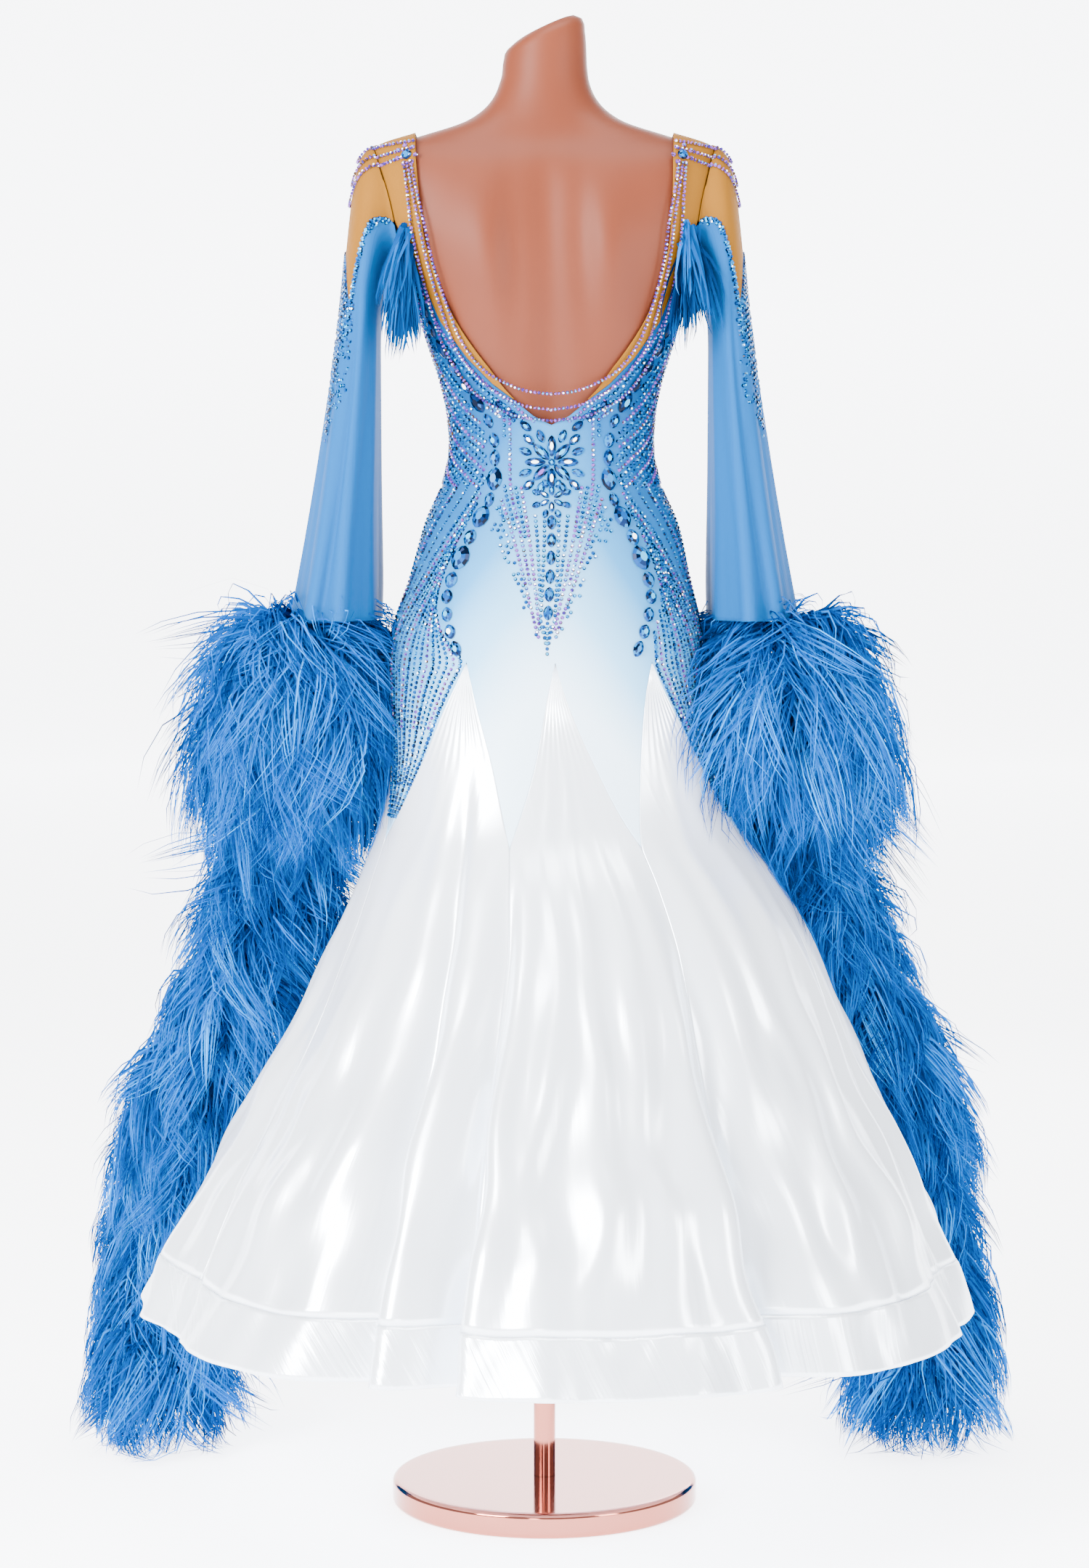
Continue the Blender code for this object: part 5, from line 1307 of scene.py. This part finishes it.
def from_grid(grid, first_axis, second_axis, first, second):
    """A value between the four nearest of a grid, each weighed by its nearness."""
    i = np.clip((first - first_axis[0]) / (first_axis[1] - first_axis[0]), 0, len(first_axis) - 1.001)
    j = np.clip((second - second_axis[0]) / (second_axis[1] - second_axis[0]), 0, len(second_axis) - 1.001)
    a, b = i.astype(int), j.astype(int)
    u, v = i - a, j - b
    near = grid[a, b] * (1 - v) + grid[a, b + 1] * v
    far = grid[a + 1, b] * (1 - v) + grid[a + 1, b + 1] * v
    return near * (1 - u) + far * u


def turn_from(girth, height):
    """The turn of a place by its way round the body from the middle of the back."""
    return from_grid(TURN_ROWS, GIRTH_HEIGHTS, GIRTH_STEPS, np.asarray(height), np.asarray(girth))


def girth_at(turn, height):
    """The way round the body from the middle of the back to this turn."""
    return from_grid(GIRTHS, GIRTH_HEIGHTS, GIRTH_TURNS, np.asarray(height), np.abs(turn))


def on_back(side):
    """The back by half distance from its middle and height, on one side."""
    return lambda half, height, lift: on_gown(side * turn_at(half, height), height, lift)


def on_body(side):
    """The body by turn and height, on one side."""
    return lambda turn, height, lift: on_gown(side * turn, height, lift)


GARLAND = table("half height length width", [
    (0.1400, 1.3880, 0.017, 0.009), (0.1330, 1.3670, 0.022, 0.010), (0.1220, 1.3440, 0.024, 0.011),
    (0.1085, 1.3230, 0.023, 0.012), (0.0955, 1.3020, 0.018, 0.010), (0.0830, 1.2830, 0.024, 0.013),
    (0.0710, 1.2620, 0.016, 0.010), (0.0648, 1.2400, 0.016, 0.011), (0.0640, 1.2200, 0.018, 0.011),
    (0.0643, 1.1960, 0.025, 0.016), (0.0702, 1.1720, 0.017, 0.010), (0.0795, 1.1530, 0.025, 0.017),
    (0.0915, 1.1300, 0.018, 0.013), (0.1014, 1.1070, 0.027, 0.020), (0.1107, 1.0820, 0.018, 0.014),
    (0.1144, 1.0630, 0.016, 0.013), (0.1131, 1.0430, 0.016, 0.012), (0.1089, 1.0240, 0.016, 0.012),
    (0.1020, 1.0050, 0.018, 0.011),
])
STONE_SEAT, NORMAL_STEP = 0.0012, 0.01
LOW_RISE, LOW_TABLE, HIGH_RISE, HIGH_TABLE = 0.16, 0.76, 0.15, 0.52


def garland_half(height):
    """The garland's distance from the middle at a height."""
    return np.interp(height, GARLAND["height"][::-1], GARLAND["half"][::-1])


def normals_on(surface, u, v):
    """The outward way there, from the surface's place to the one a centimetre above it."""
    return unit(surface(u, v, NORMAL_STEP) - surface(u, v, 0.0))


def seated(surface, half, height):
    """A line of large stones' centres, normals and ways along the line."""
    centres = surface(half, height, CLOTH + STONE_SEAT)
    return centres, normals_on(surface, half, height), np.gradient(centres, axis=0)


def add_large(tray, place, lengths, widths, colours, pointed, sides=12):
    """A large stone has two storeys of facets: a wide low one and a narrower one on top."""
    centres, normals, ways = place
    lengths, widths = np.asarray(lengths, float), np.asarray(widths, float)
    tray.add(place, lengths, widths, colours, sides, pointed, LOW_RISE, LOW_TABLE)
    upper = (centres + normals * (LOW_RISE * widths)[:, None], normals, ways)
    tray.add(upper, lengths * LOW_TABLE, widths * LOW_TABLE, colours, sides, pointed, HIGH_RISE, HIGH_TABLE)


# %% [markdown]
# The large stones are set first: the garlands stone by stone from a table, the flowers ring by ring. The rows
# of small stones then leave the garlands free. The rosette is two flowers, and each shoulder has a small one.

# %% Garlands, rosette and shoulder jewels
for word, side in SIDES.items():
    tray = StoneTray()
    place = seated(on_back(side), GARLAND["half"], GARLAND["height"])
    dark = GARLAND["height"] > 1.27
    for keep, colours in ((dark, DARK_GLASS), (~dark, BLUE_GLASS)):
        lengths, widths = 1.1 * GARLAND["length"][keep], 1.15 * GARLAND["width"][keep]
        add_large(tray, chosen(place, keep), lengths, widths, colours, 0.35)
    tray.set(f"garland_stones_{word}", f"stone_garland_{word}")


def flower(tray, surface, middle, rings):
    """Rings of pointed stones that point away from a middle.

    A ring is its number of stones, its first turn, its radius, the stones' length and width, and their kind.
    """
    for number, start, radius, length, width, colours in rings:
        turn = np.radians(start + np.arange(number) * 360 / number)
        across, up = np.sin(turn), np.cos(turn)
        half, height = middle[0] + radius * across, middle[1] + radius * up
        centres = surface(half, height, CLOTH + STONE_SEAT)
        farther = radius + 0.002
        outer = surface(middle[0] + farther * across, middle[1] + farther * up, CLOTH + STONE_SEAT)
        place = centres, normals_on(surface, half, height), outer - centres
        add_large(tray, place, np.full(number, length), np.full(number, width), colours, 0.30)


tray = StoneTray()
flower(tray, on_back(1), (0.0, 1.2150), (
    (4, 45, 0.0165, 0.0250, 0.0108, CLEAR), (4, 0, 0.0185, 0.0240, 0.0104, CLEAR),
    (8, 22.5, 0.0320, 0.0160, 0.0090, BLUE_GLASS), (4, 45, 0.0365, 0.0160, 0.0095, CLEAR),
    (1, 0, 0.0, 0.008, 0.008, CLEAR),
))
flower(tray, on_back(1), (0.0, 1.1735), (
    (6, 0, 0.0095, 0.0130, 0.0066, CLEAR), (8, 22.5, 0.0185, 0.0105, 0.0074, BLUE_GLASS),
))
tray.set("rosette_stones", "stone_rosette")

for word, side in SIDES.items():
    tray = StoneTray()
    flower(tray, on_back(side), (0.1555, 1.5610), (
        (1, 0, 0.0, 0.013, 0.013, BLUE_GLASS), (7, 10, 0.0105, 0.0062, 0.0058, COATED),
    ))
    tray.set(f"shoulder_stones_{word}", f"shoulder_jewel_{word}")

# %% [markdown]
# ## Rows on the bodice
# Above the waist the rows lie parallel to the neckline; the way they move apart is the edge's own normal in
# the unrolled plane. Below it each row starts at the garland and runs down to keep its share of a tongue.

# %% Rows above the waist
NECK_ROWS_APART, NECK_ROW_COUNT, FIRST_ROW = 0.0066, 24, 0.0052
WAIST_END, MIDDLE_END, GARLAND_TOP = 1.186, 1.262, 1.396
GARLAND_ROOM, EDGE_ROOM = 0.0095, 0.0032
SMALL, PITCH = 0.0047, 0.0053


def neckline():
    """The back's upper edge in the unrolled plane, made longer past the armhole by a straight run."""
    half = np.linspace(0.004, ARM_CORNER[0], 80)
    height = smooth(BACK_TOP, "height", half, key="half_width")
    girth = girth_at(turn_at(half, height), height)
    run = np.linspace(0.004, 0.14, 40)
    slope = unit(np.array([girth[-1] - girth[-6], height[-1] - height[-6]]))
    return np.append(girth, girth[-1] + run * slope[0]), np.append(height, height[-1] + run * slope[1])


def neck_rows(tray, side):
    """Rows parallel to the back's neckline, cut off by the armhole, the garland and the waist."""
    edge_girth, edge_height = neckline()
    way = unit(np.stack([np.gradient(edge_girth), np.gradient(edge_height)], axis=-1))
    top_turns, top_heights = top_edge(False)
    for number in range(NECK_ROW_COUNT):
        away = FIRST_ROW + number * NECK_ROWS_APART
        girth, height = edge_girth + away * way[:, 1], edge_height - away * way[:, 0]
        inside = (girth > 0.004) & (height > 1.12) & (height < 1.52)
        if inside.sum() < 3:
            continue
        turn = turn_from(girth[inside], height[inside])
        place = strung(on_body(side), turn, height[inside], PITCH * (1.12 if number % 2 else 1.0))
        x, y, high = place[0].T
        out = girth_at(np.degrees(np.arctan2(np.abs(x - smooth(GOWN, "swing", high)), -y)), high)
        angle = turn_from(out, high)
        band = girth_at(turn_at(garland_half(high), high), high)
        clear = (np.abs(out - band) > GARLAND_ROOM) | (high > GARLAND_TOP)
        lower = np.where(out > band, WAIST_END + 0.06 * np.clip(out - band, 0, 0.2), MIDDLE_END)
        below_edge = high < np.interp(angle, top_turns, top_heights) - EDGE_ROOM
        keep = clear & (high > lower) & below_edge & (angle < 91)
        size, colours = ((SMALL, COATED), (SMALL * 1.18, BLUE_GLASS), (SMALL, BLUE_GLASS))[number % 3]
        tray.add(chosen(place, keep), size, size, colours)


# %% [markdown]
# A hip row starts beside the garland, and further round at the waist. In the tongue below it keeps its share
# of the way across, so rows don't cross there. Larger and smaller, plain and coated stones take turns, which
# makes the stripes.

# %% Rows below the waist
HIP_ROWS, SIDE_ROWS = 17, 10
HIP_TONGUES = {1: (48.0, 76.0), -1: (37.5, 72.0)}  # by side: the godet's point before it and its tip
TONGUE_ENDS = (0.812, 0.915, 0.850, 0.915)
HIP_KINDS = (  # row after row: shares of the usual pitch and size, and the glass
    (1.0, 1.22, BLUE_GLASS), (1.12, 0.95, COATED), (1.05, 1.05, BLUE_GLASS), (1.12, 0.95, BLUE_GLASS),
)


def tongue_turn(low, high, tip, share, height):
    """A share of the way across a tongue, whose edges run from two godets' points to its tip."""
    down = np.clip((APEX_HEIGHT - height) / (APEX_HEIGHT - TONGUE_HEIGHTS[-1]), 0, 1)
    near, far = low + down * (tip - low), high + down * (tip - high)
    return near + share * (far - near)


def hip_rows(tray, side):
    """Rows from the garland and the waist into the side's tongue and into the next one on the front."""
    low, tip = HIP_TONGUES[side]
    rows = [(low, 90.0, tip, share, False) for share in np.linspace(0.05, 0.96, HIP_ROWS)]
    rows += [(90.0, 135.0, 112.0, share, True) for share in np.linspace(0.06, 0.94, SIDE_ROWS)]
    for number, (near, far, tip, share, beyond) in enumerate(rows):
        if beyond:
            start_height = 1.190 - 0.02 * share
            start_turn = 62 + 60 * share
        else:
            start_height = min(1.012 + share * 0.212, 1.190)
            on_line = turn_at(np.array(garland_half(start_height) + 0.0125), np.array(start_height))
            start_turn = float(on_line) + max(share - 0.84, 0) / 0.12 * 16
        knee = tongue_turn(near, far, tip, share, APEX_HEIGHT)
        middle_height = (start_height + APEX_HEIGHT) / 2
        middle_turn = start_turn + (knee - start_turn) * 0.56
        levels = np.linspace(APEX_HEIGHT, TONGUE_ENDS[number % 4], 7)
        points = [(start_turn, start_height), (middle_turn, middle_height)]
        points += [(tongue_turn(near, far, tip, share, level), level) for level in levels]
        turn, height = curve(*points)
        pitch, size, colours = HIP_KINDS[number % 4]
        tray.add(strung(on_body(side), turn, height, PITCH * pitch), SMALL * size, SMALL * size, colours)


# %% [markdown]
# In the middle of the back a fan of rays closes in on a column of drops. Outside the rays loose stones lie
# on an uneven grid and get rarer: each is kept by a chance that falls from the last ray to the garland.

# %% The fan in the middle of the back
DROPS = (1.1468, 1.1269, 1.1070, 1.0860, 1.0660, 1.0455)
FAN_TIP, FAN_TOP, FAN_APART, FAN_PITCH = 1.000, 1.186, 0.0064, 0.0056
FAN_RAYS, COATED_RAYS = (0, 2, 4, 5, 6, 7, 8, 9), (4, 6, 8)
FAN_FEET = (1.037, 1.149, 1.078, 1.149)
RAY_START, RAY_CLOSED, RAY_LEAST = 0.0085, 0.0042, 0.0080


def fan_share(height):
    """How far the fan is open: 0 at its tip and 1 at its top."""
    return np.clip((height - FAN_TIP) / (FAN_TOP - FAN_TIP), 0, 1)


def fan_rays(tray, side):
    """Rays from the open V or from below the rosette that close in on the drops; each has its own foot."""
    for number in FAN_RAYS:
        half = RAY_START + number * FAN_APART
        top = FAN_TOP if number > 3 else 1.154
        if number > 5:
            top = float(smooth(BACK_TOP, "height", np.array(half), key="half_width")) - 0.014
        levels = np.linspace(top, FAN_FEET[number % 4] - 0.009 * (number % 3), 9)
        halves = np.maximum(RAY_CLOSED + (half - RAY_CLOSED) * fan_share(levels), RAY_LEAST)
        place = strung(on_back(side), *curve(*zip(halves, levels)), FAN_PITCH, jitter=0.05)
        x, _, high = place[0].T
        keep = np.abs(x - smooth(GOWN, "swing", high)) < garland_half(high) - 0.0115
        tray.add(chosen(place, keep), SMALL, SMALL, COATED if number in COATED_RAYS else BLUE_GLASS)


def loose_stones(tray, side):
    """Stones on an uneven grid outside the rays, rarer towards the garland."""
    half, height = np.meshgrid(np.arange(0.006, 0.086, 0.0064), np.arange(1.022, 1.180, 0.0061))
    half = half + 0.0032 * (np.arange(len(half)) % 2)[:, None]
    half = half + 0.0007 * random.normal(size=half.shape)
    height = height + 0.0007 * random.normal(size=height.shape)
    edge = RAY_CLOSED + 9.5 * FAN_APART * fan_share(height)
    limit = np.minimum(0.003 + 0.50 * (height - FAN_TIP), garland_half(height) - 0.012)
    chance = 1 - (half - edge) / np.maximum(limit - edge, 1e-4)
    keep = (half > edge) & (half < limit) & (random.uniform(size=half.shape) < 0.25 + 0.75 * chance)
    half, height = half[keep], height[keep]
    centres = on_back(side)(half, height, CLOTH)
    upwards = np.tile([[0.0, 0.0, 1.0]], (len(half), 1))
    tray.add((centres, normals_on(on_back(side), half, height), upwards), SMALL, SMALL, BLUE_GLASS)


def fan_tip(tray):
    """A short line straight down from the last drop, and two on each side of it."""
    u, v = curve((0.0, 1.034), (0.0, 1.0))
    tray.add(strung(on_back(1), u, v, FAN_PITCH), SMALL, SMALL, BLUE_GLASS)
    for shift, top in ((0.0042, 1.030), (0.0076, 1.036)):
        for side in SIDES.values():
            u, v = curve((shift, top), (shift * 0.4, top - 0.018))
            tray.add(strung(on_back(side), u, v, FAN_PITCH), SMALL, SMALL, BLUE_GLASS)


tray = StoneTray()
for side in SIDES.values():
    neck_rows(tray, side)
    hip_rows(tray, side)
for side in SIDES.values():
    fan_rays(tray, side)
    loose_stones(tray, side)
fan_tip(tray)
drops = seated(on_back(1), np.zeros(len(DROPS)), np.array(DROPS))
add_large(tray, drops, np.full(len(DROPS), 0.0175), np.full(len(DROPS), 0.0112), BLUE_GLASS, 0.35)
under_v = table("half height length width", [
    (0.029, 1.2560, 0.016, 0.009), (0.044, 1.2690, 0.015, 0.009), (0.058, 1.2810, 0.012, 0.008),
])
for side in SIDES.values():
    place = seated(on_back(side), under_v["half"], under_v["height"])
    add_large(tray, place, under_v["length"], under_v["width"], DARK_GLASS, 0.3)
tray.set("bodice_stones")

# %% [markdown]
# ## Stones on the sleeves and the chains
# On each sleeve loose stones follow the cap's point and trail off below it. Three strings of coated stones
# run from the shoulder's flower over the sleeve head, and three more along the neckline and across the back.

# %% Sleeve stones
def over_sleeve(side):
    """The sleeve by angle and row, on one side."""
    return lambda angle, row, lift: on_sleeve(side, angle, row, lift)


def sleeve_stones(tray, side):
    """Rows a little below the cap's edge that get rarer, and a trail down the sleeve's outer back."""
    for front in (1, -1):
        for number, share in enumerate((1.0, 0.95, 0.85, 0.65, 0.45, 0.25)):
            angle = np.linspace(0, 108, 120)
            row = cap_edge(angle) + 0.10 + 0.115 * number
            place = strung(over_sleeve(side), front * angle, row, 0.0058, jitter=0.12)
            keep = random.uniform(size=len(place[0])) < share
            tray.add(chosen(place, keep), SMALL, SMALL, BLUE_GLASS)
    for number, angle in enumerate(np.arange(-20, 74, 4.6)):
        far = abs(angle - 34) / 50
        row = np.linspace(float(cap_edge(angle)) + 0.5, 7.0 - 1.2 * far, 60)
        place = strung(over_sleeve(side), np.full(60, angle), row, 0.0060, jitter=0.12)
        rows = np.linspace(0, 1, len(place[0]))
        keep = random.uniform(size=len(rows)) < (1.0 - 0.55 * rows) * (1.0 - 0.5 * far)
        tray.add(chosen(place, keep), SMALL, SMALL, BLUE_GLASS)


# %% [markdown]
# A chain is made as a string of close stones. It keeps to the gown's surface, a few millimetres off it along
# the neckline, and so it does near the foot of the V, where it crosses the open back with no cloth under it.
# Over the sleeve head each chain starts on the yoke and then goes over the cap as half an oval.

# %% Chains
CHAIN_PITCH, CHAIN_STONE, CHAIN_LIFT = 0.0046, 0.0042, 0.0032
NECK_CHAINS = (
    ((0.1500, 1.5520), (0.1425, 1.5137), (0.1352, 1.4800), (0.1290, 1.4460), (0.1205, 1.4142),
     (0.1110, 1.3850), (0.0980, 1.3520), (0.0760, 1.3220), (0.0540, 1.3070), (0.0270, 1.2960), (0, 1.2925)),
    ((0.1535, 1.5500), (0.1475, 1.5150), (0.1410, 1.4800), (0.1350, 1.4460), (0.1272, 1.4142),
     (0.1180, 1.3830), (0.1060, 1.3480), (0.0850, 1.3160), (0.0620, 1.2960), (0.0320, 1.2800), (0, 1.2745)),
    ((0.1570, 1.5490), (0.1535, 1.5150), (0.1500, 1.4800), (0.1440, 1.4460), (0.1370, 1.4142),
     (0.1290, 1.3830), (0.1180, 1.3480), (0.1000, 1.3150), (0.0760, 1.2870), (0.0400, 1.2680), (0, 1.2620)),
)
SLEEVE_CHAINS = ((0.1480, 1.5760, 22.0, 1.75), (0.1500, 1.5680, 40.0, 2.50), (0.1520, 1.5600, 52.0, 3.00))


def chains(tray, side):
    """The neckline's strings, and those over the sleeve head, which are part on the yoke, part on the cap."""
    for points in NECK_CHAINS:
        half, height = curve(*points[::-1], steps=300)
        place = strung(on_back(side), half, height, CHAIN_PITCH, CLOTH + CHAIN_LIFT)
        tray.add(place, CHAIN_STONE, CHAIN_STONE, COATED, rise=0.5)
    for half, height, angle, reach in SLEEVE_CHAINS:
        arm_x, arm_height = arm_edge(np.array(angle))
        u, v = np.linspace(half, float(arm_x) - 0.001, 20), np.linspace(height, float(arm_height), 20)
        place = strung(on_back(side), u, v, CHAIN_PITCH, CLOTH + STONE_SEAT)
        tray.add(place, CHAIN_STONE, CHAIN_STONE, COATED, rise=0.5)
        around = np.linspace(0.0, np.pi, 200)
        u, v = angle * np.cos(around), reach * np.sin(around)
        place = strung(over_sleeve(side), u, v, CHAIN_PITCH, CLOTH + STONE_SEAT)
        tray.add(place, CHAIN_STONE * 1.1, CHAIN_STONE * 1.1, COATED, rise=0.5)


for word, side in SIDES.items():
    for name, strew in (("sleeve_stones", sleeve_stones), ("stone_chains", chains)):
        tray = StoneTray()
        strew(tray, side)
        tray.set(f"{name}_{word}")

# %% [markdown]
# ## Feathers under the arms
# A small bunch of darker feathers hangs from the bodice under each arm. Its strands are wider and hang
# nearly straight, drawn together to points.

# %% Underarm feathers
dark_feathers, dark_shader = plain_finish("dark_feathers", (0.002, 0.030, 0.160), 0.45)
DARK_TONES = ((0.0, (0.000, 0.006, 0.030)), (0.5, (0.000, 0.036, 0.150)), (1.0, (0.000, 0.110, 0.400)))
dark_shader.inputs["Specular IOR Level"].default_value = 0.0
colour_ramp(dark_feathers, attribute(dark_feathers, "tone"), dark_shader.inputs["Base Color"], DARK_TONES)
TUFT_QUILLS, TUFT_STRANDS = 20, 14


def tuft_quills(side):
    """Quills on the strip beside the armhole's lower back edge; they point down and a little out."""
    angle = random.uniform(112, 162, TUFT_QUILLS)
    edge_x, edge_height = arm_edge(angle)
    x = edge_x - 0.004 - 0.012 * random.uniform(size=TUFT_QUILLS)
    roots = on_gown(side * turn_at(x, edge_height), edge_height - 0.002, CLOTH + 0.0015)
    ways = np.tile([0.0, -0.22, -1.0], (TUFT_QUILLS, 1))
    ways[:, 0] = side * random.uniform(-0.25, 0.45, TUFT_QUILLS)
    lengths = random.uniform(0.070, 0.112, TUFT_QUILLS)
    droops = random.uniform(0.15, 0.35, TUFT_QUILLS)
    return roots, unit(ways), lengths, droops, 0.42 + 0.2 * random.normal(size=TUFT_QUILLS)


for word, side in SIDES.items():
    tuft = plumes(f"underarm_tuft_{word}", tuft_quills(side), TUFT_STRANDS, dark_feathers,
                  spread=0.12, gather=0.6, curl=0.06, width=0.0024, margin=0.001)
    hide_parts(f"underarm_feathers_{word}")
    print(tuft.name, len(tuft.data.polygons), "faces")
